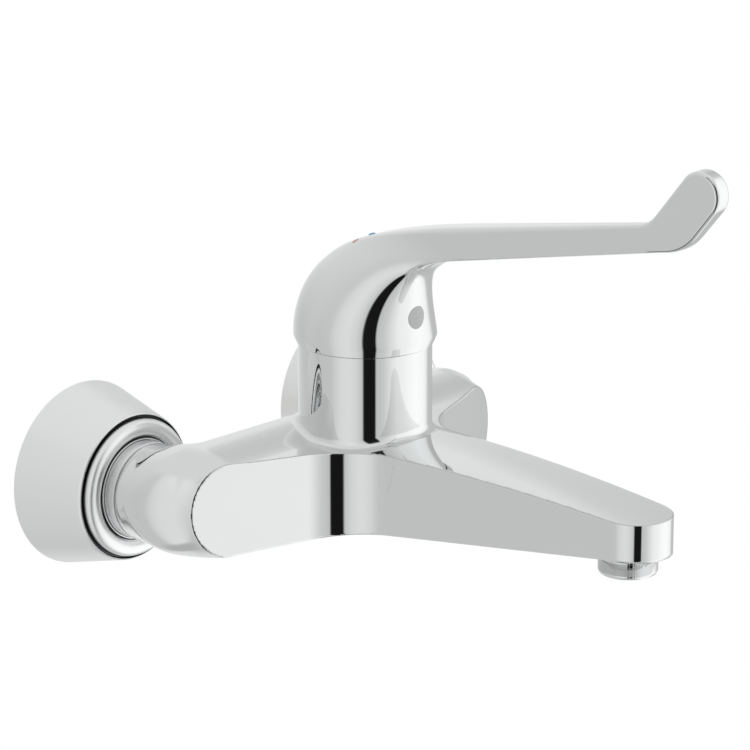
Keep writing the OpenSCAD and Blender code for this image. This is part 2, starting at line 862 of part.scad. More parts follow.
// Limiter: a toothed ring on the housing's lip, with a lug that stops the rotor
module temperature_limiter() {
    teeth = 36;
    rim_r = housing_neck_r - 0.3;
    ring_t = head_z - lip_z - lip_t;
    lug = 6;
    color([0.8, 0.25, 0.15])
    on_tower()
    translate([0, 0, lip_z + lip_t])
    difference() {
        union() {
            linear_extrude(height = ring_t)
            difference() {
                toothed_outline(rim_r, 1, teeth);
                circle(r = rotor_head_r + moving_gap);
            }
            rotate([0, 0, 90 - lug])
            rotate_extrude(angle = 2 * lug)
            translate([rotor_head_r - 1.6 + moving_gap, 0])
            square([2, ring_t]);
        }
        translate([0, 0, -cut])
        cylinder(r = rotor_head_r - 1.6 + moving_gap, h = tower_h);
    }
}

// Retaining nut: screws into the tower and holds the housing down by its shoulder
module retaining_nut() {
    slots = 6;
    color(brass)
    on_tower()
    translate([0, 0, retainer_z])
    difference() {
        tube(retainer_r, housing_neck_r + moving_gap, retainer_h);
        for (k = [0:slots - 1])
            rotate([0, 0, 360 * k / slots])
            translate([housing_neck_r + 1.5, -1.5, retainer_h - 2])
            cube([retainer_r, 3, 3]);
    }
}

// Skin of the lever: rings of points joined into one closed surface
module lever_skin() {
    sections = concat(
        [[[skirt_in - cap_r, rim_z], [cap_r - skirt_in, rim_z], cap_r - skirt_in, 2]],
        [for (k = [0:cap_steps - 1]) cap_section(k / cap_steps)],
        [for (k = [0:bar_steps - 1]) arm_section(flare_start * k / bar_steps)],
        [for (k = [0:paddle_steps - 1])
            arm_section(mix(flare_start, lever_len - paddle_round, k / paddle_steps))],
        [for (k = [0:tip_steps - 1])
            arm_section(lever_len - paddle_round * (1 - sin(88 * k / (tip_steps - 1))))]);
    count = len(sections);
    rings = [for (s = sections) section_ring(s)];
    n = section_points;
    foot = [0, -tower_d, rim_z];
    tip = let (p = arm_point(lever_len)) [0, -tower_d - p[0], p[1]];
    sides = [for (k = [0:count - 2], i = [0:n - 1])
        let (a = k * n + i, b = k * n + (i + 1) % n)
        each [[a, b, a + n], [b, b + n, a + n]]];
    foot_faces = [for (i = [0:n - 1]) [count * n, (i + 1) % n, i]];
    tip_faces = [for (i = [0:n - 1])
        [count * n + 1, (count - 1) * n + i, (count - 1) * n + (i + 1) % n]];
    polyhedron(points = concat([for (r = rings) each r], [foot, tip]),
        faces = concat(sides, foot_faces, tip_faces));
}

// Hollow of the cap, round the boss that takes the stem
module cap_hollow() {
    translate([0, -tower_d, 0])
    difference() {
        rotate_extrude()
        polygon([[0, rim_z - cut], [cap_r - 1.6, rim_z - cut], [cap_r - 1.6, rim_z + 0.8],
                 [cap_r - 3.3, rim_z + 5.3], [cap_r - 3.3, rim_z + 8.3],
                 [cap_r - 7.3, rim_z + 17.3], [cap_r - 10.3, cavity_top_z], [0, cavity_top_z]]);
        translate([0, 0, boss_z])
        cylinder(r = stem_w + 1.5, h = cavity_top_z);
        translate([-stem_w * 0.75, -cap_r, boss_z])
        cube([stem_w * 1.5, cap_r, cavity_top_z]);
    }
}

// A direction across the front of the cap, through the grub screw
module along_screw(from) {
    translate([0, -tower_d - from, screw_z])
    rotate([90, 0, 0])
    children();
}

// A temperature mark sits square to the cap's top, on the side of its temperature
module at_mark(side) {
    translate([side * mark_side, -tower_d - mark_front, rim_z + mark_rise])
    rotate([-mark_tilt, side * mark_turn, 0])
    children();
}

module lever() {
    color(chrome)
    raised()
    difference() {
        lever_skin();
        cap_hollow();
        translate([-stem_w / 2 - running, -tower_d - stem_w / 2 - running, rim_z])
        cube([stem_w + 2 * running, stem_w + 2 * running, stem_top_z - rim_z + seat]);
        along_screw(0)
        cylinder(r = screw_r + running, h = cap_r);
        along_screw(cap_r - 1.3 - plug_t)
        cylinder(r = plug_r + running, h = cap_r);
        for (side = [-1, 1])
            at_mark(side)
            translate([0, 0, -1])
            cylinder(r = mark_r + running, h = 4);
    }
}

module grub_screw() {
    color([0.3, 0.3, 0.32])
    raised()
    along_screw(stem_w / 2)
    difference() {
        cylinder(r = screw_r, h = screw_len);
        translate([0, 0, screw_len - 2.5])
        cylinder(r = screw_r * 0.55, h = 3, $fn = 6);
    }
}

module screw_plug() {
    color([0.62, 0.62, 0.63])
    raised()
    along_screw(cap_r - 1.3 - plug_t)
    cylinder(r = plug_r, h = plug_t);
}

module temperature_mark(side) {
    raised()
    at_mark(side)
    translate([0, 0, -1])
    cylinder(r = mark_r, h = 1.1);
}

module cold_mark() {
    color([0.1, 0.35, 0.8])
    temperature_mark(1);
}

module hot_mark() {
    color([0.8, 0.12, 0.12])
    temperature_mark(-1);
}

// The aerator's seat in the spout
module at_outlet() {
    translate([0, -outlet_d, union_offset - under_nose])
    children();
}

module aerator_housing() {
    color(chrome)
    at_outlet()
    difference() {
        union() {
            translate([0, 0, -aerator_drop])
            cylinder(r = aerator_r - knurl_depth - 0.2, h = aerator_drop - seat);
            translate([0, 0, 0.8 - aerator_drop])
            linear_extrude(height = aerator_drop - 2)
            toothed_outline(aerator_r, knurl_depth, 60);
            translate([0, 0, -2])
            cylinder(r1 = aerator_r + 0.2, r2 = aerator_collar_r, h = 2 - seat);
            translate([0, 0, -1])
            cylinder(r = aerator_thread_r, h = aerator_grip + 1);
        }
        translate([0, 0, -aerator_drop - cut])
        cylinder(r = aerator_thread_r - aerator_wall, h = aerator_drop + aerator_grip + 2 * cut);
        translate([0, 0, -aerator_drop - cut])
        cylinder(r = aerator_r - aerator_wall, h = 2.5 + cut);
    }
}

// Insert: a perforated plate with a rim, which breaks up the stream
module aerator_insert() {
    insert_r = aerator_thread_r - aerator_wall - seat;
    rings = 3;
    color([0.85, 0.86, 0.88])
    at_outlet()
    translate([0, 0, -aerator_drop + 2.5])
    difference() {
        cylinder(r = insert_r, h = aerator_drop + aerator_grip - 2.5);
        translate([0, 0, 2])
        cylinder(r = insert_r - 1, h = aerator_drop + aerator_grip);
        for (k = [1:rings], i = [0:6 * k - 1])
            rotate([0, 0, 60 * i / k])
            translate([2 * k, 0, -cut])
            cylinder(r = 0.6, h = 4, $fn = 16);
    }
}

module aerator_gasket() {
    color([0.1, 0.1, 0.1])
    at_outlet()
    translate([0, 0, aerator_grip])
    tube(aerator_thread_r, aerator_thread_r - aerator_wall - 1, gasket_t);
}

body();
escutcheon(-1);  // left_escutcheon
escutcheon(1);  // right_escutcheon
s_union(-1);  // left_s_union
s_union(1);  // right_s_union
union_nut(-1);  // left_union_nut
union_nut(1);  // right_union_nut
tailpiece(-1);  // left_tailpiece
tailpiece(1);  // right_tailpiece
washer(-1);  // left_washer
washer(1);  // right_washer
strainer(-1);  // left_strainer
strainer(1);  // right_strainer
cartridge_housing();
cartridge_base();
base_seals();
disc_seals();
fixed_disc();
moving_disc();
disc_carrier();
rotor();
pivot_pin();
stem();
temperature_limiter();
retaining_nut();
lever();
grub_screw();
screw_plug();
cold_mark();
hot_mark();
aerator_housing();
aerator_insert();
aerator_gasket();
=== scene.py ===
"""Looks of the wall-mounted elbow lever tap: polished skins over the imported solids, a camera and a studio.

Shapes are worked out in millimetres from the body's axis: X runs along the wall, the wall is Y = 0, the tap
stands out towards -Y and +Z is up. They are turned into metres in the frame when a mesh is made.
"""

import json
import math

import bpy
import numpy as np
from mathutils import Matrix, Vector
from mathutils.bvhtree import BVHTree


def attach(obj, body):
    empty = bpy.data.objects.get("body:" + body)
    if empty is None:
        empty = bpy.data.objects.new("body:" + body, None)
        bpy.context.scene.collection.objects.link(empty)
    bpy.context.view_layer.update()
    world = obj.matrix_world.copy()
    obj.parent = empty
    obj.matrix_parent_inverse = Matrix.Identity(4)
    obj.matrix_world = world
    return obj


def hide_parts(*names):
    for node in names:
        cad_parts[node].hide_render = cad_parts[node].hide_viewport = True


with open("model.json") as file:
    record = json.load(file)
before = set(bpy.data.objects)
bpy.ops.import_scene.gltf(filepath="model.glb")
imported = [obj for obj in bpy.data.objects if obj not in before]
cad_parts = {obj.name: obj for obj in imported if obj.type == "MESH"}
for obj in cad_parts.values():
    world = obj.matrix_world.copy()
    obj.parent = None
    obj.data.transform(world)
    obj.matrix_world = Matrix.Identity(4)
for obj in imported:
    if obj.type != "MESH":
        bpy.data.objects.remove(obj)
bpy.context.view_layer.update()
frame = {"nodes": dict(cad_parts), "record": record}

# Sizes in millimetres: R is a radius, X lies along the wall, D is a distance from the wall and Z a height
MM = 0.001
AXIS_Z = 7.5
INLET_X = 75.0
NECK_R, NECK_D, NECK_BORE_R, NECK_BORE_D = 19.3, 38.3, 9.9, 51.3
ARM_R, ARM_X, ARM_D, ARM_BLUNT = 21.6, 70.0, 61.5, 1.23
FACE_Z, FLANK_ANGLE = 19.1, math.radians(3.0)
ELBOW_R, ELBOW_D, FLARE_D = 20.8, 56.0, 41.0
CHEEK_X, CHEEK_D, CHEEK_ANGLE = 85.5, 73.1, math.radians(62.0)
PANEL_D, PANEL_ANGLE, SWEEP_R = 77.0, math.radians(20.3), 28.0
TOWER_R, TOWER_D, TOWER_H, FOOT_R = 26.4, 83.4, 54.2, 3.0
CHAMBER_R, CHAMBER_Z, THREAD_R, THREAD_Z = 20.1, 12.0, 22.1, 45.0
OUTLET_D, NOSE_D, NOSE_R, SPOUT_ROOT = 217.0, 219.6, 14.7, 23.3
RIDGE_Z, RIDGE_D, BOW_R, CROWN_R = 20.4, 110.0, 1048.0, 90.0
UNDER_ROOT, UNDER_NOSE = 20.2, 1.5
AERATOR_R, AERATOR_COLLAR_R, AERATOR_DROP = 11.3, 11.9, 8.8
AERATOR_SEAT_R, AERATOR_SEAT_H, AERATOR_PLAY = 9.5, 7.8, 0.3
RIM_Z, CAP_Z, CAP_R, CAP_RIM_R = 54.35, 57.8, 28.3, 26.95

# Widths of the blends between the body's surfaces: the elbow's narrows between two distances from the wall
ARM_BLEND, CHEEK_BLEND, SPOUT_BLEND, UNDER_BLEND = 6.5, 6.0, 1.5, 0.5
ELBOW_BLEND_D, ELBOW_BLEND = (52, 66), (5.0, 2.0)


def smooth_min(a, b, k):
    """The smaller of a and b, with a blend about k wide where they meet."""
    h = np.maximum(k - np.abs(a - b), 0) / k
    return np.minimum(a, b) - h * h * k / 4


def round_union(a, b, r):
    """Union of two surfaces that meet at about a right angle, with a fillet of radius r."""
    return np.maximum(r, np.minimum(a, b)) - np.hypot(np.maximum(r - a, 0), np.maximum(r - b, 0))


def ease(x):
    """Rises smoothly from 0 to 1."""
    x = min(max(x, 0.0), 1.0)
    return x * x * (3 - 2 * x)


def mix(a, b, t):
    return a + (b - a) * t


def unit(vector):
    return vector / np.linalg.norm(vector)


# Signed distances to the body's surfaces: negative inside


def plan_parts():
    """Panel line, spout side and the sweep that joins them, on the right-hand side seen from above."""
    draft = math.atan((SPOUT_ROOT - NOSE_R) / (NOSE_D - TOWER_D))
    panel_n = np.array([math.sin(PANEL_ANGLE), -math.cos(PANEL_ANGLE)])
    side_n = np.array([math.cos(draft), -math.sin(draft)])
    panel_p = np.array([INLET_X, -PANEL_D])
    nose_p = np.array([0.0, -NOSE_D])
    offsets = np.array([panel_n @ panel_p, side_n @ nose_p + NOSE_R])
    corner = np.linalg.solve(np.array([panel_n, side_n]), offsets)
    centre = corner + SWEEP_R * (panel_n + side_n) / (1 + panel_n @ side_n)
    return panel_n, side_n, panel_p, nose_p, centre


PANEL_N, SIDE_N, PANEL_P, NOSE_P, SWEEP_P = plan_parts()


def plan_distance(x, y):
    """Distance to the upright front wall: panels, sweeps, spout sides and nose."""
    x = np.abs(x)
    panel = (x - PANEL_P[0]) * PANEL_N[0] + (y - PANEL_P[1]) * PANEL_N[1]
    side = (x - NOSE_P[0]) * SIDE_N[0] + (y - NOSE_P[1]) * SIDE_N[1] - NOSE_R
    nose = np.hypot(x, y - NOSE_P[1]) - NOSE_R
    dx, dy = x - SWEEP_P[0], y - SWEEP_P[1]
    sweep = SWEEP_R - np.hypot(dx, dy)
    on_panel = -dx * PANEL_N[1] + dy * PANEL_N[0] > 0
    on_spout = dx * SIDE_N[1] - dy * SIDE_N[0] > 0
    on_nose = x * SIDE_N[1] - (y - NOSE_P[1]) * SIDE_N[0] > 0
    return np.where(on_panel, panel, np.where(on_spout, np.where(on_nose, nose, side), sweep))


def under_distance(y, z):
    """The underside rises towards the nose, where it is level."""
    rise = math.atan((UNDER_ROOT - UNDER_NOSE) / (NOSE_D - ARM_D))
    under = (-UNDER_ROOT - z) * math.cos(rise) + (-y - ARM_D) * math.sin(rise)
    return smooth_min(under, -UNDER_NOSE - z, UNDER_BLEND)


def arms_distance(x, y, z):
    """Round arms with blunt ends, and a front between a sloping top and the underside."""
    out = -y - ARM_D
    up = np.hypot(np.maximum(np.abs(x) - ARM_X, 0) * ARM_BLUNT, z)
    front = (up - FACE_Z) * math.cos(FLANK_ANGLE) + out * math.sin(FLANK_ANGLE)
    front = np.maximum(np.maximum(front, -out), under_distance(y, z))
    return smooth_min(np.hypot(out, up) - ARM_R, front, ARM_BLEND)


def spout_distance(x, y, z):
    """Bowed and crowned top over the underside."""
    bow = np.hypot(y + RIDGE_D, z - RIDGE_Z + BOW_R) - (BOW_R - CROWN_R)
    top = np.hypot(bow, x) - CROWN_R
    return np.maximum(np.maximum(top, under_distance(y, z)), y + ARM_D)


def neck_distance(x, y, z):
    """Round necks that end in balls, each with a softly flattened cheek that runs in towards its panel."""
    inlet = np.hypot(np.abs(x) - INLET_X, z)
    flare = np.clip((-y - FLARE_D) / (ELBOW_D - FLARE_D), 0, 1)
    radius = NECK_R + (ELBOW_R - NECK_R) * flare * flare * (3 - 2 * flare)
    ball = np.hypot(inlet, np.maximum(-y - ELBOW_D, 0)) - radius
    cheek = (np.abs(x) - CHEEK_X) * math.sin(CHEEK_ANGLE) + (-y - CHEEK_D) * math.cos(CHEEK_ANGLE)
    return -smooth_min(-ball, -cheek, CHEEK_BLEND)


def casting_distance(x, y, z):
    """Arms, spout, tower and necks run into one another with fillets."""
    round_tower = np.hypot(x, y + TOWER_D)
    tower = np.maximum(round_tower - TOWER_R, -z)
    bars = smooth_min(arms_distance(x, y, z), spout_distance(x, y, z), SPOUT_BLEND)
    bars = smooth_min(bars, neck_distance(x, y, z), np.interp(-y, ELBOW_BLEND_D, ELBOW_BLEND))
    return round_union(tower, bars, FOOT_R)


def body_surfaces(x, y, z):
    """Every surface that bounds the body: it is inside all of them, and has a crisp edge where two meet."""
    axis = np.hypot(x, y + TOWER_D)
    outlet = np.hypot(x, y + OUTLET_D)
    inlet = np.hypot(np.abs(x) - INLET_X, z)
    chamber = np.minimum(CHAMBER_R - axis, z - CHAMBER_Z)
    thread = np.minimum(THREAD_R - axis, z - THREAD_Z)
    pad = np.minimum(AERATOR_COLLAR_R + AERATOR_PLAY - outlet, -UNDER_NOSE - z)
    seat = np.minimum(AERATOR_SEAT_R - outlet, AERATOR_SEAT_H - UNDER_NOSE - z)
    return np.stack([
        casting_distance(x, y, z),
        plan_distance(x, y),
        y + NECK_D,
        z - TOWER_H,
        np.maximum(chamber, thread),
        np.maximum(pad, seat),
        np.minimum(NECK_BORE_R - inlet, y + NECK_BORE_D),
    ])


# Meshing of signed distances

SURFACE_ROUNDS, EDGE_ROUNDS = 3, 4
# How squarely two surfaces cross to hold an edge and to shade it, and how far off it may be in cells
EDGE_CROSSING, SHADE_CROSSING, EDGE_CELLS = 0.02, 0.5, 0.8


def grid_values(surfaces, low, counts, step, block):
    """Distances on a grid of points: exact near the surface, taken from the block's middle elsewhere."""
    middles = [low[k] + step * block * (np.arange(counts[k]) + 0.5) for k in range(3)]
    values = surfaces(*np.meshgrid(*middles, indexing="ij")).max(axis=0).astype(np.float32)
    for k in range(3):
        values = np.repeat(values, block, axis=k)
        values = np.concatenate([values, values.take([-1], axis=k)], axis=k)
    near = np.argwhere(np.abs(values) < step * (block + 2))
    points = low + step * near
    values[tuple(near.T)] = surfaces(*points.T).max(axis=0)
    return values


def net_faces(inside, index):
    """One quad round every grid edge that the surface crosses."""
    quads = []
    for k in range(3):
        first = inside.take(range(inside.shape[k] - 1), axis=k)
        second = inside.take(range(1, inside.shape[k]), axis=k)
        p, q = (k + 1) % 3, (k + 2) % 3
        edges = np.argwhere(first != second)
        keep = (edges[:, p] > 0) & (edges[:, q] > 0)
        keep &= (edges[:, p] < inside.shape[p] - 1) & (edges[:, q] < inside.shape[q] - 1)
        edges = edges[keep]
        leaves = first[tuple(edges.T)]
        corners = []
        for dp, dq in ((-1, -1), (0, -1), (0, 0), (-1, 0)):
            cell = edges.copy()
            cell[:, p] += dp
            cell[:, q] += dq
            corners.append(index[tuple(cell.T)])
        quad = np.stack(corners, axis=1)
        quad[~leaves] = quad[~leaves][:, ::-1]
        quads.append(quad)
    return np.concatenate(quads).tolist()


def slopes(surfaces, points, eps=0.004):
    """Gradient of every surface at every point."""
    parts = []
    for k in range(3):
        shift = np.zeros(3)
        shift[k] = eps
        parts.append((surfaces(*(points + shift).T) - surfaces(*(points - shift).T)) / (2 * eps))
    return np.stack(parts, axis=2)


def outermost_two(surfaces, points):
    """Values and gradients of the two surfaces that lie furthest out at every point."""
    rows = np.arange(len(points))
    values, slope = surfaces(*points.T), slopes(surfaces, points)
    order = np.argsort(values, axis=0)
    one, two = order[-1], order[-2]
    return values[one, rows], values[two, rows], slope[one, rows], slope[two, rows]


def to_surface(surfaces, points):
    """Moves points onto the nearest surface."""
    rows = np.arange(len(points))
    for _ in range(SURFACE_ROUNDS):
        values, slope = surfaces(*points.T), slopes(surfaces, points)
        top = values.argmax(axis=0)
        g = slope[top, rows]
        points = points - (values[top, rows] / (g * g).sum(axis=1))[:, None] * g
    return points


def to_edge(surfaces, points):
    """Moves points onto the edge between their two outermost surfaces, and tells where those cross."""
    for _ in range(EDGE_ROUNDS):
        v1, v2, g1, g2 = outermost_two(surfaces, points)
        a, b, c = (g1 * g1).sum(axis=1), (g1 * g2).sum(axis=1), (g2 * g2).sum(axis=1)
        det = a * c - b * b
        sharp = det > EDGE_CROSSING
        det = np.where(sharp, det, 1)
        k1, k2 = (c * v1 - b * v2) / det, (a * v2 - b * v1) / det
        points = points - np.where(sharp[:, None], k1[:, None] * g1 + k2[:, None] * g2, 0)
    return points, sharp


def settle(surfaces, cells, step):
    """Points on the surface, or on an edge that their cell holds, with normals and distances to an edge."""
    points = to_surface(surfaces, cells)
    edge, sharp = to_edge(surfaces, points)
    on_edge = sharp & (np.abs(edge - cells).max(axis=1) < EDGE_CELLS * step)
    points = np.where(on_edge[:, None], edge, points)
    _, inner, normals, others = outermost_two(surfaces, points)
    apart = np.linalg.norm(np.cross(normals, others), axis=1) > SHADE_CROSSING
    normals = normals + np.where(on_edge[:, None], others, 0)
    normals = normals / np.linalg.norm(normals, axis=1)[:, None]
    return points, normals, np.where(apart, -inner, step)


def surface_net(surfaces, low, high, step, block=4):
    """Quads over the solid inside all the surfaces, with a vertex in every cell that its skin crosses."""
    low = np.array(low, float)
    counts = np.ceil((np.array(high) - low) / (step * block)).astype(int)
    inside = grid_values(surfaces, low, counts, step, block) < 0
    corner_count = np.zeros(np.array(inside.shape) - 1, np.uint8)
    for i in (0, 1):
        for j in (0, 1):
            for k in (0, 1):
                ends = [slice(s, n - 1 + s) for s, n in zip((i, j, k), inside.shape)]
                corner_count += inside[tuple(ends)]
    cells = np.argwhere((corner_count > 0) & (corner_count < 8))
    index = np.full(corner_count.shape, -1, np.int32)
    index[tuple(cells.T)] = np.arange(len(cells))
    points, normals, edge_gap = settle(surfaces, low + step * (cells + 0.5), step)
    return points, net_faces(inside, index), normals, edge_gap


# Meshes


def add_mesh(name, points, faces, normals=None):
    """A smooth mesh from millimetres about the body's axis."""
    points = (np.asarray(points, float) + [0, 0, AXIS_Z]) * MM
    mesh = bpy.data.meshes.new(name)
    mesh.from_pydata(points.tolist(), [], faces)
    mesh.shade_smooth()
    if normals is not None:
        mesh.normals_split_custom_set_from_vertices(np.asarray(normals, float).tolist())
    obj = bpy.data.objects.new(name, mesh)
    bpy.context.scene.collection.objects.link(obj)
    return obj


def mesh_points(obj):
    """Vertices of a mesh in millimetres about the body's axis."""
    return np.array([v.co for v in obj.data.vertices]) / MM - [0, 0, AXIS_Z]


def ring_faces(rings, count, close_first=False, close_last=False):
    """Quads between rings of points, with one face over the whole ring at an end that is closed."""
    faces = []
    for k in range(rings - 1):
        a, b = k * count, (k + 1) * count
        for i in range(count):
            j = (i + 1) % count
            faces.append((a + i, a + j, b + j, b + i))
    if close_first:
        faces.append(tuple(range(count - 1, -1, -1)))
    if close_last:
        faces.append(tuple(range((rings - 1) * count, rings * count)))
    return faces


def right_of(way):
    return np.array([way[1], -way[0]])


def corner_arc(here, before, after, rounding, arc_points):
    """Points and normals of the arc that rounds a corner between two directions."""
    turn = math.atan2(before[0] * after[1] - before[1] * after[0], before @ after)
    start = here - before * rounding * abs(math.tan(turn / 2))
    side = math.copysign(1, turn)
    normal = right_of(before)
    centre = start - side * rounding * normal
    points, normals = [], []
    for i in range(arc_points + 1):
        a = turn * i / arc_points
        n = np.array([normal[0] * math.cos(a) - normal[1] * math.sin(a),
                      normal[0] * math.sin(a) + normal[1] * math.cos(a)])
        points.append(centre + side * rounding * n)
        normals.append(n)
    return points, normals


def rounded_profile(corners, arc_points=6):
    """Points and normals along a profile of (radius, depth, rounding) corners: outside is on its right."""
    points, normals = [], []
    for k, (r, d, rounding) in enumerate(corners):
        here = np.array([r, d], float)
        ways = []
        if k > 0:
            ways.append(unit(here - corners[k - 1][:2]))
        if k < len(corners) - 1:
            ways.append(unit(np.array(corners[k + 1][:2]) - here))
        if rounding > 0 and len(ways) == 2:
            arc, arc_normals = corner_arc(here, *ways, rounding, arc_points)
        else:
            arc, arc_normals = [here], [right_of(ways[0] if len(ways) == 1 else unit(ways[0] + ways[1]))]
        points += arc
        normals += arc_normals
    return np.array(points), np.array(normals)


# Cross directions and axis of a turned piece that stands up, and of one that stands out from the wall
UPRIGHT = np.array([[1, 0, 0], [0, 1, 0], [0, 0, 1]], float)
OUTWARD = np.array([[1, 0, 0], [0, 0, 1], [0, -1, 0]], float)


def lathe(name, corners, origin, axes, count, shape=None):
    """A turned piece along the last of its axes. shape may change a ring's radius by angle."""
    points, normals = rounded_profile(corners)
    angles = 2 * math.pi * np.arange(count) / count
    cross = np.outer(np.cos(angles), axes[0]) + np.outer(np.sin(angles), axes[1])
    rings, ring_normals = [], []
    for (r, d), (nr, nd) in zip(points, normals):
        radius = np.full(count, r) if shape is None else shape(r, d, angles)
        rings.append(origin + radius[:, None] * cross + d * axes[2])
        ring_normals.append(nr * cross + nd * axes[2])
    faces = ring_faces(len(rings), count)
    made = np.concatenate(rings)
    flat = np.concatenate(ring_normals)
    a, b, c = made[list(faces[0][:3])]
    if np.cross(b - a, c - a) @ flat[faces[0][0]] < 0:
        faces = [face[::-1] for face in faces]
    return add_mesh(name, made, faces, None if shape else flat)


def dress(obj, node, body, slot, finish=None):
    """obj stands for a solid and moves with its body. Its finish is its slot's, unless another is given."""
    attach(obj, body)
    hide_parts(node)
    obj.data.materials.append(MATERIALS[finish or slot])
    return obj


def paint_shade(obj, values):
    """Darkens the chosen vertices, where a seam or an edge gathers shade."""
    edge = obj.data.attributes.new("edge", "FLOAT", "POINT")
    edge.data.foreach_set("value", np.asarray(values, float))


# Materials

# Noise in features per metre, the middle part of its range that is used, and heights of bumps in metres
HAZE_SCALE, STAIN_SCALE, PATCH_SCALE = 35.0, 120.0, 150.0
WAVE_SCALE, TOOL_SCALE, GRAIN_SCALE = 90.0, 900.0, 1800.0
NOISE_LOW, NOISE_HIGH = 0.3, 0.7
WAVE_HEIGHT, TOOL_HEIGHT, GRAIN_HEIGHT = 0.0002, 0.0002, 0.0001
TOOL_STRETCH, TOOL_STRENGTH = (0.15, 2.5, 0.15), 0.15
# Colour of the painted shade along edges, seams and grooves
PAINTED_SHADE_COLOUR = (0.06, 0.06, 0.065)


def new_material(name):
    material = bpy.data.materials.new(name)
    material.use_nodes = True
    nodes, links = material.node_tree.nodes, material.node_tree.links
    return material, nodes, links, nodes["Principled BSDF"]


def add_noise(nodes, links, scale, detail=4.0, stretch=(1, 1, 1)):
    """Noise over the piece's own coordinates, in features per metre."""
    place = nodes.new("ShaderNodeTexCoord")
    mapping = nodes.new("ShaderNodeMapping")
    mapping.inputs["Scale"].default_value = stretch
    noise = nodes.new("ShaderNodeTexNoise")
    noise.inputs["Scale"].default_value = scale
    noise.inputs["Detail"].default_value = detail
    links.new(place.outputs["Object"], mapping.inputs["Vector"])
    links.new(mapping.outputs["Vector"], noise.inputs["Vector"])
    return noise.outputs["Fac"]


def to_range(nodes, links, value, low, high):
    spread = nodes.new("ShaderNodeMapRange")
    spread.inputs["From Min"].default_value = NOISE_LOW
    spread.inputs["From Max"].default_value = NOISE_HIGH
    spread.inputs["To Min"].default_value = low
    spread.inputs["To Max"].default_value = high
    links.new(value, spread.inputs["Value"])
    return spread.outputs["Result"]


def to_colours(nodes, links, value, dark, light):
    """Blends from dark to light as value rises. Each is a colour or a socket."""
    blend = nodes.new("ShaderNodeMix")
    blend.data_type = "RGBA"
    for socket, colour in ((blend.inputs["A"], dark), (blend.inputs["B"], light)):
        if isinstance(colour, tuple):
            socket.default_value = (*colour, 1)
        else:
            links.new(colour, socket)
    links.new(value, blend.inputs["Factor"])
    return blend.outputs["Result"]


def add_bump(nodes, links, shader, height, strength, distance):
    bump = nodes.new("ShaderNodeBump")
    bump.inputs["Strength"].default_value = strength
    bump.inputs["Distance"].default_value = distance
    links.new(height, bump.inputs["Height"])
    links.new(bump.outputs["Normal"], shader.inputs["Normal"])


def polished_metal(name, dark, light, rough, waviness):
    """Plated metal: a mirror with a faint haze that varies, a trace of polishing waviness, and painted shade
    that darkens it where a mesh's edge attribute is set.
    """
    material, nodes, links, shader = new_material(name)
    haze = add_noise(nodes, links, HAZE_SCALE)
    # Painted shade: the edge attribute blends the plating towards a dark colour along edges, seams and
    # grooves
    edge = nodes.new("ShaderNodeAttribute")
    edge.attribute_name = "edge"
    line = to_range(nodes, links, edge.outputs["Fac"], 0.0, 1.0)
    plating = to_colours(nodes, links, haze, dark, light)
    links.new(to_colours(nodes, links, line, plating, PAINTED_SHADE_COLOUR), shader.inputs["Base Color"])
    links.new(to_range(nodes, links, haze, *rough), shader.inputs["Roughness"])
    shader.inputs["Metallic"].default_value = 1.0
    add_bump(nodes, links, shader, add_noise(nodes, links, WAVE_SCALE, 1.0), waviness, WAVE_HEIGHT)
    return material


def turned_metal(name, dark, light, rough):
    """Machined metal with fine tool marks round its axis."""
    material, nodes, links, shader = new_material(name)
    stain = add_noise(nodes, links, STAIN_SCALE)
    marks = add_noise(nodes, links, TOOL_SCALE, 2.0, TOOL_STRETCH)
    links.new(to_colours(nodes, links, stain, dark, light), shader.inputs["Base Color"])
    links.new(to_range(nodes, links, marks, *rough), shader.inputs["Roughness"])
    shader.inputs["Metallic"].default_value = 1.0
    add_bump(nodes, links, shader, marks, TOOL_STRENGTH, TOOL_HEIGHT)
    return material


def moulded(name, dark, light, rough, grain, coat=0.0):
    """Plastic, rubber, fibre or ceramic with a moulded or sintered grain."""
    material, nodes, links, shader = new_material(name)
    patch = add_noise(nodes, links, PATCH_SCALE)
    fine = add_noise(nodes, links, GRAIN_SCALE, 2.0)
    links.new(to_colours(nodes, links, patch, dark, light), shader.inputs["Base Color"])
    links.new(to_range(nodes, links, patch, *rough), shader.inputs["Roughness"])
    shader.inputs["Coat Weight"].default_value = coat
    add_bump(nodes, links, shader, fine, grain, GRAIN_HEIGHT)
    return material


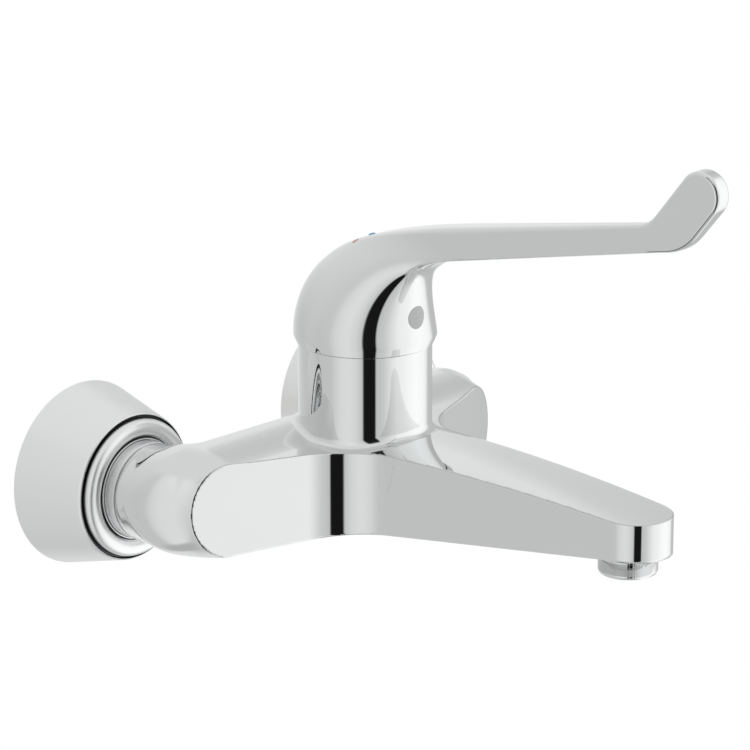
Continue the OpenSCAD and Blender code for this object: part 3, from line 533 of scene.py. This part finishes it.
# Each finish: darkest and lightest colour, range of roughness, then waviness or grain, and coat
FINISHES = {
    "chrome": (polished_metal, (0.735, 0.745, 0.745), (0.76, 0.77, 0.77), (0.02, 0.05), 0.01),
    "satin_chrome": (polished_metal, (0.82, 0.83, 0.83), (0.86, 0.87, 0.87), (0.32, 0.38), 0.01),
    "brass": (turned_metal, (0.62, 0.47, 0.2), (0.78, 0.62, 0.3), (0.2, 0.4)),
    "steel": (turned_metal, (0.5, 0.51, 0.52), (0.64, 0.65, 0.66), (0.18, 0.34)),
    "fibre": (moulded, (0.3, 0.19, 0.11), (0.46, 0.32, 0.2), (0.75, 0.95), 0.5),
    "seal": (moulded, (0.015, 0.015, 0.016), (0.035, 0.035, 0.036), (0.5, 0.7), 0.2),
    "ceramic": (moulded, (0.86, 0.85, 0.8), (0.93, 0.92, 0.88), (0.12, 0.2), 0.02, 0.3),
    "cartridge_white": (moulded, (0.8, 0.8, 0.77), (0.87, 0.87, 0.85), (0.4, 0.55), 0.15),
    "cartridge_blue": (moulded, (0.1, 0.2, 0.42), (0.16, 0.28, 0.52), (0.4, 0.55), 0.15),
    "cartridge_red": (moulded, (0.55, 0.1, 0.08), (0.68, 0.16, 0.13), (0.4, 0.55), 0.15),
    "plug_grey": (moulded, (0.5, 0.51, 0.51), (0.55, 0.56, 0.56), (0.35, 0.45), 0.1),
    "mark_blue": (moulded, (0.09, 0.3, 0.62), (0.14, 0.38, 0.7), (0.12, 0.2), 0.02, 0.5),
    "mark_red": (moulded, (0.5, 0.13, 0.12), (0.6, 0.19, 0.17), (0.12, 0.2), 0.02, 0.5),
    "insert_white": (moulded, (0.72, 0.73, 0.75), (0.8, 0.81, 0.82), (0.4, 0.5), 0.1),
}
MATERIALS = {name: make(name, *values) for name, (make, *values) in FINISHES.items()}


def paint_solids():
    """Every solid gets the finish of its slot."""
    slots = {row["node"]: row["material_slot"] for row in frame["record"]["subparts"]}
    for name, obj in frame["nodes"].items():
        obj.data.materials.clear()
        obj.data.materials.append(MATERIALS[slots[name]])


# Body

BODY_LOW, BODY_HIGH, BODY_STEP = (-98, -237, -24), (98, -35, 57), 0.6
# How far shade reaches from an edge, how it deepens with height, and how it deepens towards the panels' ends
EDGE_REACH = 0.42
SHADE_Z, SHADE_BY_Z = (-10, 4), (0.12, 0.5)
SHADE_X, SHADE_BY_X = (72, 82), (0, 0.75)


def edge_shade(x, z, edge_gap):
    """Shade along the body's edges: faint underneath, and deepest at the ends of the panels."""
    weight = np.maximum(np.interp(z, SHADE_Z, SHADE_BY_Z), np.interp(np.abs(x), SHADE_X, SHADE_BY_X))
    return np.clip(1 - edge_gap / EDGE_REACH, 0, 1) * weight


def make_body():
    points, faces, normals, edge_gap = surface_net(body_surfaces, BODY_LOW, BODY_HIGH, BODY_STEP)
    skin = add_mesh("body_skin", points, faces, normals)
    paint_shade(skin, edge_shade(points[:, 0], points[:, 2], edge_gap))
    dress(skin, "body", "fixed", "chrome")


# Lever: its side view is worked out in distance out from the tower's axis and height

LEVER_POINTS = 192
CAP_RINGS, BAR_RINGS, FAN_RINGS, PADDLE_RINGS, TIP_RINGS = 130, 40, 30, 24, 32
BAR_PITCH, PADDLE_PITCH = math.radians(10.6), math.radians(50.5)
BAR_FOOT = np.array([50.6, 102.5])
BAR_LEN, BAR_HALF_H, BAR_TIP_HALF_H, BAR_HALF_W = 97.0, 6.5, 5.4, 6.4
DOME_RISE, DOME_RUN, FRONT_LEAN, FRONT_RISE, FRONT_RUN = 28.0, 65.0, 6.0, 32.0, 10.0
NARROWING, SQUARE_TOP_FROM, SQUARE_LOW_FROM = 0.84, 0.45, 0.4
PADDLE_TIP, PADDLE_R, PADDLE_HALF_T = np.array([165.2, 139.4]), 8.95, 3.8
CORNER_AT, CORNER_HALF_T, FAN_GAP = np.array([142.5, 126.6]), 3.3, 7.0
BAR_SINK, CROOK_BLEND, HEEL_BLEND = 4.0, 3.0, 5.0
TOP_ROUND, LOW_ROUND, PADDLE_ROUND = 2.6, 1.5, 1.8
TIP_TURN = math.radians(89.6)
SEARCH_REACH, SEARCH_STEPS, HALVINGS = 40, 1601, 20


def bezier(p, t):
    return (1 - t) ** 3 * p[0] + 3 * (1 - t) ** 2 * t * p[1] + 3 * (1 - t) * t * t * p[2] + t ** 3 * p[3]


def heading(angle):
    """Directions along and up from a line at that pitch."""
    way = np.array([math.cos(angle), math.sin(angle)])
    return way, np.array([-way[1], way[0]])


def side_distance(points):
    """Distance to the outline of bar and paddle seen from the side: negative inside."""
    way, up = heading(BAR_PITCH)
    along, above = (points - BAR_FOOT) @ way, (points - BAR_FOOT) @ up
    half = mix(BAR_HALF_H, BAR_TIP_HALF_H, np.clip(along / BAR_LEN, 0, 1))
    way, up = heading(PADDLE_PITCH)
    reach, across = (points - PADDLE_TIP) @ way, (points - PADDLE_TIP) @ up
    paddle = np.hypot(np.maximum(reach, 0), across) - PADDLE_R
    bar = np.maximum(above - half, BAR_SINK - across - PADDLE_R)
    return -smooth_min(-smooth_min(bar, paddle, CROOK_BLEND), above + half, HEEL_BLEND)


def section_ring(over, under, widths):
    """A ring of points from the upper point down the left side and up the right side."""
    turn = math.pi * (np.arange(LEVER_POINTS // 2) + 0.5) * 2 / LEVER_POINTS
    middle, half = (over + under) / 2, (over - under) / 2
    side = middle + np.outer(np.cos(turn), half)
    wide = widths(side, turn, np.hypot(*half))
    left = np.stack([-wide, -TOWER_D - side[:, 0], side[:, 1]], axis=1)
    return np.concatenate([left, (left * [-1, 1, 1])[::-1]])


def rounded_width(width, depth, rounding):
    """Half width at a depth below the outline, where the edge is rounded."""
    left = rounding - np.clip(depth, 0, rounding)
    return width - rounding + np.sqrt(rounding ** 2 - left ** 2)


def cap_ring(t):
    """Section of the cap, t of the way from its edge to the bar: round at first, then square like the bar."""
    way, up = heading(BAR_PITCH)
    back, front = np.array([-CAP_R, CAP_Z]), np.array([CAP_R, CAP_Z])
    bar_top, bar_low = BAR_FOOT + BAR_HALF_H * up, BAR_FOOT - BAR_HALF_H * up
    width = mix(CAP_R, BAR_HALF_W, ease(t ** NARROWING))
    square_top = ease((t - SQUARE_TOP_FROM) / (1 - SQUARE_TOP_FROM))
    square_low = ease((t - SQUARE_LOW_FROM) / (1 - SQUARE_LOW_FROM))

    def widths(side, turn, half):
        upper = np.cos(turn) > 0
        depth = half * (1 - np.abs(np.cos(turn)))
        square = rounded_width(width, depth, np.where(upper, TOP_ROUND, LOW_ROUND))
        return mix(width * np.sin(turn), square, np.where(upper, square_top, square_low))

    over = bezier([back, back + [0, DOME_RISE], bar_top - DOME_RUN * way, bar_top], t)
    under = bezier([front, front + [-FRONT_LEAN, FRONT_RISE], bar_low - FRONT_RUN * way, bar_low], t)
    return section_ring(over, under, widths)


def outline_crossings(start, down):
    """The two points where a line down from a point above the lever meets its outline."""
    steps = np.linspace(0, SEARCH_REACH, SEARCH_STEPS)
    inside = side_distance(start + np.outer(steps, down)) < 0
    ends = []
    for k in (np.argmax(inside), len(steps) - np.argmax(inside[::-1])):
        low, high = steps[k - 1], steps[k]
        for _ in range(HALVINGS):
            half = (low + high) / 2
            met = (side_distance(start + half * down) < 0) == inside[k - 1]
            low, high = (half, high) if met else (low, half)
        ends.append(start + low * down)
    return ends


def arm_ring(start, angle, share, width):
    """Section of bar or paddle square to that angle. share goes from the bar's rounding to the paddle's."""
    over, under = outline_crossings(start, -heading(angle)[1])
    top_round, low_round = mix(TOP_ROUND, PADDLE_ROUND, share), mix(LOW_ROUND, PADDLE_ROUND, share)

    def widths(side, turn, half):
        rounding = np.where(np.cos(turn) > 0, top_round, low_round)
        return rounded_width(width, -side_distance(side), rounding)

    return section_ring(over, under, widths)


def arm_rings():
    """Sections along the bar, in a fan round the corner under the paddle, and along the paddle to its tip."""
    bar_way, bar_up = heading(BAR_PITCH)
    pad_way, pad_up = heading(PADDLE_PITCH)
    middle = (bar_up + pad_up) / np.linalg.norm(bar_up + pad_up)
    pivot = CORNER_AT + middle * FAN_GAP / (middle @ bar_up)
    bar_end = (pivot - BAR_FOOT) @ bar_way
    tip_end = (PADDLE_TIP - pivot) @ pad_way
    rings = []
    for k in range(BAR_RINGS):
        share = k / BAR_RINGS
        start = pivot - (1 - share) * bar_end * bar_way
        rings.append(arm_ring(start, BAR_PITCH, share, mix(BAR_HALF_W, CORNER_HALF_T, share)))
    for k in range(FAN_RINGS):
        rings.append(arm_ring(pivot, mix(BAR_PITCH, PADDLE_PITCH, k / FAN_RINGS), 1.0, CORNER_HALF_T))
    for k in range(PADDLE_RINGS):
        start = pivot + tip_end * k / PADDLE_RINGS * pad_way
        rings.append(arm_ring(start, PADDLE_PITCH, 1.0, mix(CORNER_HALF_T, PADDLE_HALF_T, k / PADDLE_RINGS)))
    for k in range(TIP_RINGS + 1):
        reach = tip_end + PADDLE_R * math.sin(TIP_TURN * k / TIP_RINGS)
        rings.append(arm_ring(pivot + reach * pad_way, PADDLE_PITCH, 1.0, PADDLE_HALF_T))
    return rings


# Hollow of the cap as (radius, height, rounding) corners, from the boss on the stem to the cap's edge
STEM_R, BOSS_R, BOSS_Z, ROOF_R, ROOF_Z = 5.8, 9.5, 60.0, 18.0, 74.0
HOLLOW_R, HOLLOW_Z, SKIRT_R, SKIRT_Z, HOLLOW_ARC = 25.0, 63.0, 26.6, 55.5, 4
CAP_HOLLOW = [
    (STEM_R, BOSS_Z, 0), (BOSS_R, BOSS_Z, 0.4), (BOSS_R, ROOF_Z, 1), (ROOF_R, ROOF_Z + 0.2, 1),
    (ROOF_R + 3, ROOF_Z - 2, 1), (HOLLOW_R, HOLLOW_Z, 1), (HOLLOW_R, BOSS_Z, 1), (SKIRT_R, SKIRT_Z, 0.3),
    (SKIRT_R, RIM_Z, 0.1), (CAP_RIM_R, RIM_Z, 0.1), (CAP_R, CAP_Z - 0.3, 0.8), (CAP_R, CAP_Z, 0),
]
RIM_LEVEL = 0.85

# Shade on the paddle: where it starts along the bar, how far back it goes, its depth, reach and weight
SHADE_START, SHADE_BACK, SHADE_DEPTH, SHADE_REACH, SHADE_WEIGHT = 0.9, 2.3, 0.75, 0.4, 0.75


def round_ring(r, z):
    return section_ring(np.array([-r, z]), np.array([r, z]), lambda side, turn, half: r * np.sin(turn))


def paddle_shade(points):
    """Shade along the edge of the paddle's face, from its tip down to the bar's underside."""
    side = np.stack([-points[:, 1] - TOWER_D, points[:, 2]], axis=1)
    depth = -side_distance(side)
    far = (side - BAR_FOOT) @ heading(BAR_PITCH)[0] > SHADE_START * BAR_LEN
    front = (side - PADDLE_TIP) @ heading(PADDLE_PITCH)[1] < SHADE_BACK
    return SHADE_WEIGHT * np.clip(1 - np.abs(depth - SHADE_DEPTH) / SHADE_REACH, 0, 1) * (far & front)


def make_lever():
    """The lever's skin, from the boss inside the cap round the rim and out to the paddle's tip."""
    inner, _ = rounded_profile(CAP_HOLLOW, HOLLOW_ARC)
    rings = [round_ring(r, z) for r, z in inner[:-1]]
    rings += [cap_ring(k / CAP_RINGS) for k in range(CAP_RINGS)] + arm_rings()
    points = np.concatenate(rings)
    lever = add_mesh("lever_skin", points, ring_faces(len(rings), LEVER_POINTS, close_last=True))
    level_rim(lever)
    paint_shade(lever, paddle_shade(points))
    return dress(lever, "lever", "handle", "chrome")


def level_rim(lever):
    """The rim's chamfer is softly polished: its shading runs on from the wall above it."""
    points = mesh_points(lever)
    normals = np.array([n.vector for n in lever.data.vertex_normals])
    out = points[:, :2] + [0, TOWER_D]
    radius = np.linalg.norm(out, axis=1)
    rim = (radius > CAP_RIM_R - 0.05) & (points[:, 2] < CAP_Z + 0.1)
    level = np.concatenate([out / np.maximum(radius, 1)[:, None], np.zeros((len(out), 1))], axis=1)
    normals[rim] = mix(normals[rim], level[rim], RIM_LEVEL)
    lever.data.normals_split_custom_set_from_vertices(normals / np.linalg.norm(normals, axis=1)[:, None])


# Plug and marks on the lever: rays find the skin, and a disc's profile is (share of its radius, height) pairs

PLUG_Z, PLUG_R, PLUG_PROUD, PLUG_RAY_Y = 68.5, 4.6, 0.18, -200.0
PLUG_EDGE = [(1.0, -0.9), (1.0, -0.05), (0.985, 0.08), (0.95, 0.15), (0.9, PLUG_PROUD)]
MARK_Y, MARK_Z, MARK_R, MARK_POINTS, MARK_RAY = -84.0, 95.7, 1.5, 32, 20.0
MARK_DOME = [(1.0, -0.5), (1.0, 0.2), (0.95, 0.45), (0.8, 0.7), (0.5, 0.92), (0.2, 0.99), (0.02, 1.0)]
MARK_BACK, MARK_UP = 0.375, 0.88
# Node, place along the wall, lean along the wall, height and slot
MARKS = [("cold_mark", 3.6, 0.15, 0.7, "mark_blue"), ("hot_mark", -6.0, -0.3, 0.1, "mark_red")]


def lever_surface(lever):
    """Looks up where a ray meets the lever's skin, in metres."""
    mesh = lever.data
    return BVHTree.FromPolygons([v.co for v in mesh.vertices], [p.vertices for p in mesh.polygons])


def make_disc(name, place, radius, heights, count=48):
    """A small disc with that profile. place(x, y) gives its surface point and normal."""
    points = []
    for share, height in heights:
        for i in range(count):
            a = 2 * math.pi * i / count
            point, normal = place(share * radius * math.cos(a), share * radius * math.sin(a))
            points.append((point + normal * height * MM) / MM - Vector((0, 0, AXIS_Z)))
    faces = ring_faces(len(heights), count, close_first=True, close_last=True)
    return add_mesh(name, points, [face[::-1] for face in faces])


def make_plug(tree):
    """Screw plug in the cap's front."""
    def on_front(x, y):
        start = Vector((x * MM, PLUG_RAY_Y * MM, (PLUG_Z + y + AXIS_Z) * MM))
        return tree.ray_cast(start, Vector((0, 1, 0)))[0], Vector((0, -1, 0))

    face = [(k / 10, PLUG_PROUD) for k in range(8, -1, -2)]
    plug = make_disc("screw_plug_face", on_front, PLUG_R, PLUG_EDGE + face)
    dress(plug, "screw_plug", "handle", "plug_grey")


def make_mark(tree, node, at_x, lean, proud, slot):
    """Temperature mark on the cap's top."""
    normal = Vector((lean, MARK_BACK, MARK_UP)).normalized()
    across = normal.cross(Vector((0, 1, 0))).normalized()
    along = normal.cross(across)
    middle = Vector((at_x, MARK_Y, MARK_Z + AXIS_Z)) * MM

    def on_top(x, y):
        start = middle + (across * x + along * y) * MM + normal * (MARK_RAY * MM)
        return tree.ray_cast(start, -normal)[0], normal

    dome = [(share, height * proud if height > 0 else height) for share, height in MARK_DOME]
    dress(make_disc(node + "_dome", on_top, MARK_R, dome, MARK_POINTS), node, "handle", slot)


# Wall fittings: profiles are (radius, distance from the wall, rounding) corners

COVER_CONE = [(35.4, 0.0, 0), (37.0, 0.0, 0.5), (29.5, 29.5, 2.4)]
OUTER_GROOVE = [(28.8, 30.1, 0.15), (28.5, 29.0, 0.15), (27.6, 29.0, 0.15)]
INNER_GROOVE = [(20.6, 32.2, 0.2), (20.2, 32.0, 0.1), (20.1, 33.1, 0.1)]
COVER_HOLLOW = [(19.65, 33.0, 0.1), (19.65, 26.0, 0.5), (27.0, 26.0, 1.0), (35.2, 0.2, 0)]
BEAD_R, BEAD_D, BEAD_HALF_W, BEAD_H, BEAD_FULLNESS, BEAD_STEPS = 24.05, 30.4, 3.5, 3.6, 0.8, 20
# Shaded parts of the grooves: least and greatest radius, least and greatest distance from the wall
OUTER_SHADE, INNER_SHADE = (27.5, 28.85, 28.8, 30.0), (20.05, 20.7, 31.8, 32.9)
NUT_START, HEX_END, NUT_END, NUT_CHAMFER = 16.5, 29.0, 38.0, 1.1
NUT_BORE_R, NUT_FACE_R, NUT_CORNER_R, NUT_COLLAR_R, NUT_END_R, HEX_R = 13.4, 16.8, 18.6, 19.4, 10.7, 16.0
UNION_NUT = [
    (NUT_BORE_R, NUT_START, 0), (NUT_FACE_R, NUT_START, 0.2), (NUT_CORNER_R, NUT_START + NUT_CHAMFER, 0.2),
    (NUT_CORNER_R, HEX_END, 0.1), (NUT_COLLAR_R, HEX_END + 0.1, 0.2), (NUT_COLLAR_R, NUT_END, 0.35),
    (NUT_END_R, NUT_END, 0),
]
COVER_POINTS, NUT_POINTS = 256, 240


def bead(k):
    """Corner k of the rounded bead between the escutcheon's two grooves."""
    turn = math.pi * k / BEAD_STEPS
    return BEAD_R + BEAD_HALF_W * math.cos(turn), BEAD_D + BEAD_H * math.sin(turn) ** BEAD_FULLNESS, 0


ESCUTCHEON = COVER_CONE + OUTER_GROOVE + [bead(k) for k in range(1, 18)] + INNER_GROOVE + COVER_HOLLOW


def hexagon(r, d, angles):
    """The nut is a hexagon up to its collar, with its corners turned off at the end."""
    if d > HEX_END or r <= NUT_BORE_R:
        return np.full(len(angles), r)
    part = np.mod(angles + math.pi / 6, math.pi / 3) - math.pi / 6
    return np.minimum(HEX_R / np.cos(part), r)


def within(radius, depth, limits):
    least_r, most_r, least_d, most_d = limits
    return (radius > least_r) & (radius < most_r) & (depth > least_d) & (depth < most_d)


def shade_grooves(cover, origin):
    """Paints deep shade into the two narrow grooves in the escutcheon's front."""
    points = mesh_points(cover) - origin
    radius, depth = np.hypot(points[:, 0], points[:, 2]), -points[:, 1]
    paint_shade(cover, within(radius, depth, OUTER_SHADE) | within(radius, depth, INNER_SHADE))


def make_wall_fittings():
    """Escutcheon and union nut at each inlet."""
    for name, side in (("left", -1), ("right", 1)):
        origin = np.array([side * INLET_X, 0.0, 0.0])
        cover = lathe(name + "_escutcheon_skin", ESCUTCHEON, origin, OUTWARD, COVER_POINTS)
        dress(cover, name + "_escutcheon", "fixed", "chrome", "satin_chrome")
        shade_grooves(cover, origin)
        collar = lathe(name + "_union_nut_skin", UNION_NUT, origin, OUTWARD, NUT_POINTS, hexagon)
        dress(collar, name + "_union_nut", "fixed", "chrome", "satin_chrome")


# Aerator: heights from the underside of the nose

AERATOR_POINTS, KNURLS, KNURL_DEPTH, KNURL_RINGS = 480, 72, 0.03, 12
# Plain lip below the knurls, plain neck above them, and the length over which they fade
KNURL_LIP, KNURL_NECK, KNURL_FADE = 0.6, 1.7, 0.4
BORE_R, MOUTH_R, LIP_R, GRIP_TOP, GRIP_WALL = 7.8, 9.8, 10.8, -2.1, 1.0
SCREW_R, SCREW_TOP = 9.4, 5.9


def knurled(r, d, angles):
    """Pointed ridges on the grip, between its plain lip and its collar."""
    depth = 0.0
    if r > AERATOR_R - GRIP_WALL:
        above_lip = ease((d + AERATOR_DROP - KNURL_LIP) / KNURL_FADE)
        depth = KNURL_DEPTH * above_lip * ease((-KNURL_NECK - d) / KNURL_FADE)
    wave = np.abs(np.mod(angles * KNURLS / (2 * math.pi), 1.0) * 2 - 1)
    return r - depth * wave


def make_aerator():
    """Aerator housing, from its bore round the mouth and up the knurled grip to the collar and the screw."""
    low = -AERATOR_DROP
    grip_low, grip_high = low + 1.1, GRIP_TOP - 0.2
    profile = [(BORE_R, SCREW_TOP, 0), (BORE_R, low + 2.5, 0.2), (MOUTH_R, low + 2.3, 0.2),
               (MOUTH_R, low, 0.3), (LIP_R, low, 0.4), (AERATOR_R, low + 1.0, 0.3)]
    profile += [(AERATOR_R, mix(grip_low, grip_high, i / KNURL_RINGS), 0.01) for i in range(1, KNURL_RINGS)]
    profile += [(AERATOR_R, GRIP_TOP, 0.2), (AERATOR_COLLAR_R, -1.4, 0.3), (AERATOR_COLLAR_R, -0.1, 0.2),
                (SCREW_R, -0.1, 0.2), (SCREW_R, SCREW_TOP, 0.2), (BORE_R, SCREW_TOP, 0)]
    origin = np.array([0.0, -OUTLET_D, -UNDER_NOSE])
    aerator = lathe("aerator_skin", profile, origin, UPRIGHT, AERATOR_POINTS, knurled)
    dress(aerator, "aerator_housing", "fixed", "chrome")


# Camera and studio

CAMERA_AT = Vector((-1056.34, -1056.93, 454.63 + AXIS_Z)) * MM
CAMERA_TURN, CAMERA_RISE = math.radians(-47.49), math.radians(16.10)
CAMERA_LENS, SENSOR, CLIP_START, CLIP_END = 182.4, 36.0, 0.05, 50


def make_camera():
    """The photograph's view: a long lens, to the left of the tap and a little above it."""
    level = math.cos(CAMERA_RISE)
    back = Vector((math.sin(CAMERA_TURN) * level, -math.cos(CAMERA_TURN) * level, math.sin(CAMERA_RISE)))
    right = Vector((math.cos(CAMERA_TURN), math.sin(CAMERA_TURN), 0))
    axes = Matrix((right, back.cross(right), back)).transposed()
    data = bpy.data.cameras.new("camera")
    data.lens, data.sensor_width = CAMERA_LENS, SENSOR
    data.clip_start, data.clip_end = CLIP_START, CLIP_END
    camera = bpy.data.objects.new("camera", data)
    camera.matrix_world = Matrix.Translation(CAMERA_AT) @ axes.to_4x4()
    bpy.context.scene.collection.objects.link(camera)
    bpy.context.scene.camera = camera


# Brightness of the studio by direction, in degrees from straight in front of the tap towards its left
LOW_PANELS = [
    (-180, 0.69), (-165, 0.74), (-150, 0.82), (-133, 0.9), (-128, 0.74), (-124, 0.72), (-114, 0.58),
    (-90, 0.66), (-80, 1.1), (-70, 1.22), (-50, 1.28), (-35, 1.23), (-22, 1.14), (-8, 1.1), (5, 0.92),
    (15, 0.76), (28.5, 0.66), (30.5, 0.01), (50, 0.01), (52.5, 0.69), (62, 0.84), (75, 0.92), (86, 0.9),
    (94, 0.85), (101, 0.78), (108, 0.7), (125, 0.68), (145, 0.7), (165, 0.67), (180, 0.69),
]
HIGH_PANELS = [
    (-180, 0.83), (-150, 0.93), (-132.5, 0.95), (-128, 0.79), (-124, 0.74), (-114, 0.62), (-90, 0.72),
    (-80, 1.1), (-70, 1.22), (-50, 1.28), (-35, 1.2), (-8, 1.1), (5, 0.95), (28, 0.75), (30.5, 0.02),
    (50, 0.02), (53, 0.75), (75, 0.97), (96, 0.88), (104, 0.78), (110, 0.75), (120, 0.75), (180, 0.83),
]
# Upward share of a direction where the high panels and then the ceiling take over, and downward share
# where the ground does
PANEL_RISE, CEILING_RISE, GROUND_FALL = (-0.2, 0.6), (0.55, 0.85), (0.86, 0.97)
CEILING, GROUND, WHITE = (0.85, 0.85, 0.85), (0.55, 0.55, 0.55), (1.0, 1.0, 1.0)
FLOOR_R, FLOOR_AT, FLOOR_COLOUR, FLOOR_ROUGHNESS = 1.2, (0, -0.1, -0.6), (0.85, 0.85, 0.85), 0.8


def panel_ramp(nodes, links, turn, stops):
    ramp = nodes.new("ShaderNodeValToRGB")
    ramp.color_ramp.interpolation = "LINEAR"
    elements = ramp.color_ramp.elements
    for k, (angle, level) in enumerate(stops):
        element = elements[k] if k < 2 else elements.new(angle / 360 + 0.5)
        element.position = angle / 360 + 0.5
        element.color = (level, level, level, 1)
    links.new(turn, ramp.inputs["Fac"])
    return ramp.outputs["Color"]


def math_node(nodes, links, operation, *values):
    node = nodes.new("ShaderNodeMath")
    node.operation = operation
    for socket, value in zip(node.inputs, values):
        if isinstance(value, float):
            socket.default_value = value
        else:
            links.new(value, socket)
    return node.outputs["Value"]


def step_up(nodes, links, value, low, high):
    """Rises smoothly from 0 to 1 as value goes from low to high."""
    node = nodes.new("ShaderNodeMapRange")
    node.interpolation_type = "SMOOTHSTEP"
    node.inputs["From Min"].default_value = low
    node.inputs["From Max"].default_value = high
    links.new(value, node.inputs["Value"])
    return node.outputs["Result"]


def studio_direction(nodes, links):
    """A direction's turn, in whole turns with a half straight in front, and its upward share."""
    place = nodes.new("ShaderNodeTexCoord")
    way = nodes.new("ShaderNodeSeparateXYZ")
    links.new(place.outputs["Generated"], way.inputs["Vector"])
    left = math_node(nodes, links, "MULTIPLY", way.outputs["X"], -1.0)
    out = math_node(nodes, links, "MULTIPLY", way.outputs["Y"], -1.0)
    angle = math_node(nodes, links, "ARCTAN2", left, out)
    turn = math_node(nodes, links, "MULTIPLY_ADD", angle, 1 / (2 * math.pi), 0.5)
    return turn, way.outputs["Z"]


def make_world():
    """A studio of upright light panels with one dark gap near the camera. The camera itself sees white."""
    world = bpy.data.worlds.new("studio")
    bpy.context.scene.world = world
    world.use_nodes = True
    nodes, links = world.node_tree.nodes, world.node_tree.links
    turn, rise = studio_direction(nodes, links)
    fall = math_node(nodes, links, "MULTIPLY", rise, -1.0)
    low, high = panel_ramp(nodes, links, turn, LOW_PANELS), panel_ramp(nodes, links, turn, HIGH_PANELS)
    room = to_colours(nodes, links, step_up(nodes, links, rise, *PANEL_RISE), low, high)
    room = to_colours(nodes, links, step_up(nodes, links, rise, *CEILING_RISE), room, CEILING)
    room = to_colours(nodes, links, step_up(nodes, links, fall, *GROUND_FALL), room, GROUND)
    ray = nodes.new("ShaderNodeLightPath")
    seen = to_colours(nodes, links, ray.outputs["Is Camera Ray"], room, WHITE)
    links.new(seen, nodes["Background"].inputs["Color"])


def make_floor():
    """A plain pale floor well below the tap: white to the camera like the background, and not mirrored."""
    bpy.ops.mesh.primitive_circle_add(vertices=128, radius=FLOOR_R, fill_type="NGON", location=FLOOR_AT)
    floor = bpy.context.object
    floor.name = "floor"
    material, nodes, links, shader = new_material("floor")
    shader.inputs["Base Color"].default_value = (*FLOOR_COLOUR, 1)
    shader.inputs["Roughness"].default_value = FLOOR_ROUGHNESS
    ray = nodes.new("ShaderNodeLightPath")
    mirrored = nodes.new("ShaderNodeMixShader")
    links.new(ray.outputs["Is Glossy Ray"], mirrored.inputs["Fac"])
    links.new(shader.outputs["BSDF"], mirrored.inputs[1])
    links.new(nodes.new("ShaderNodeBsdfTransparent").outputs["BSDF"], mirrored.inputs[2])
    choose = nodes.new("ShaderNodeMixShader")
    links.new(ray.outputs["Is Camera Ray"], choose.inputs["Fac"])
    links.new(mirrored.outputs["Shader"], choose.inputs[1])
    links.new(nodes.new("ShaderNodeEmission").outputs["Emission"], choose.inputs[2])
    links.new(choose.outputs["Shader"], nodes["Material Output"].inputs["Surface"])
    floor.data.materials.append(material)


bpy.context.scene.view_settings.view_transform = "Standard"
make_camera()
make_world()
make_floor()
paint_solids()
make_body()
lever_skin = lever_surface(make_lever())
make_plug(lever_skin)
for mark in MARKS:
    make_mark(lever_skin, *mark)
make_wall_fittings()
make_aerator()
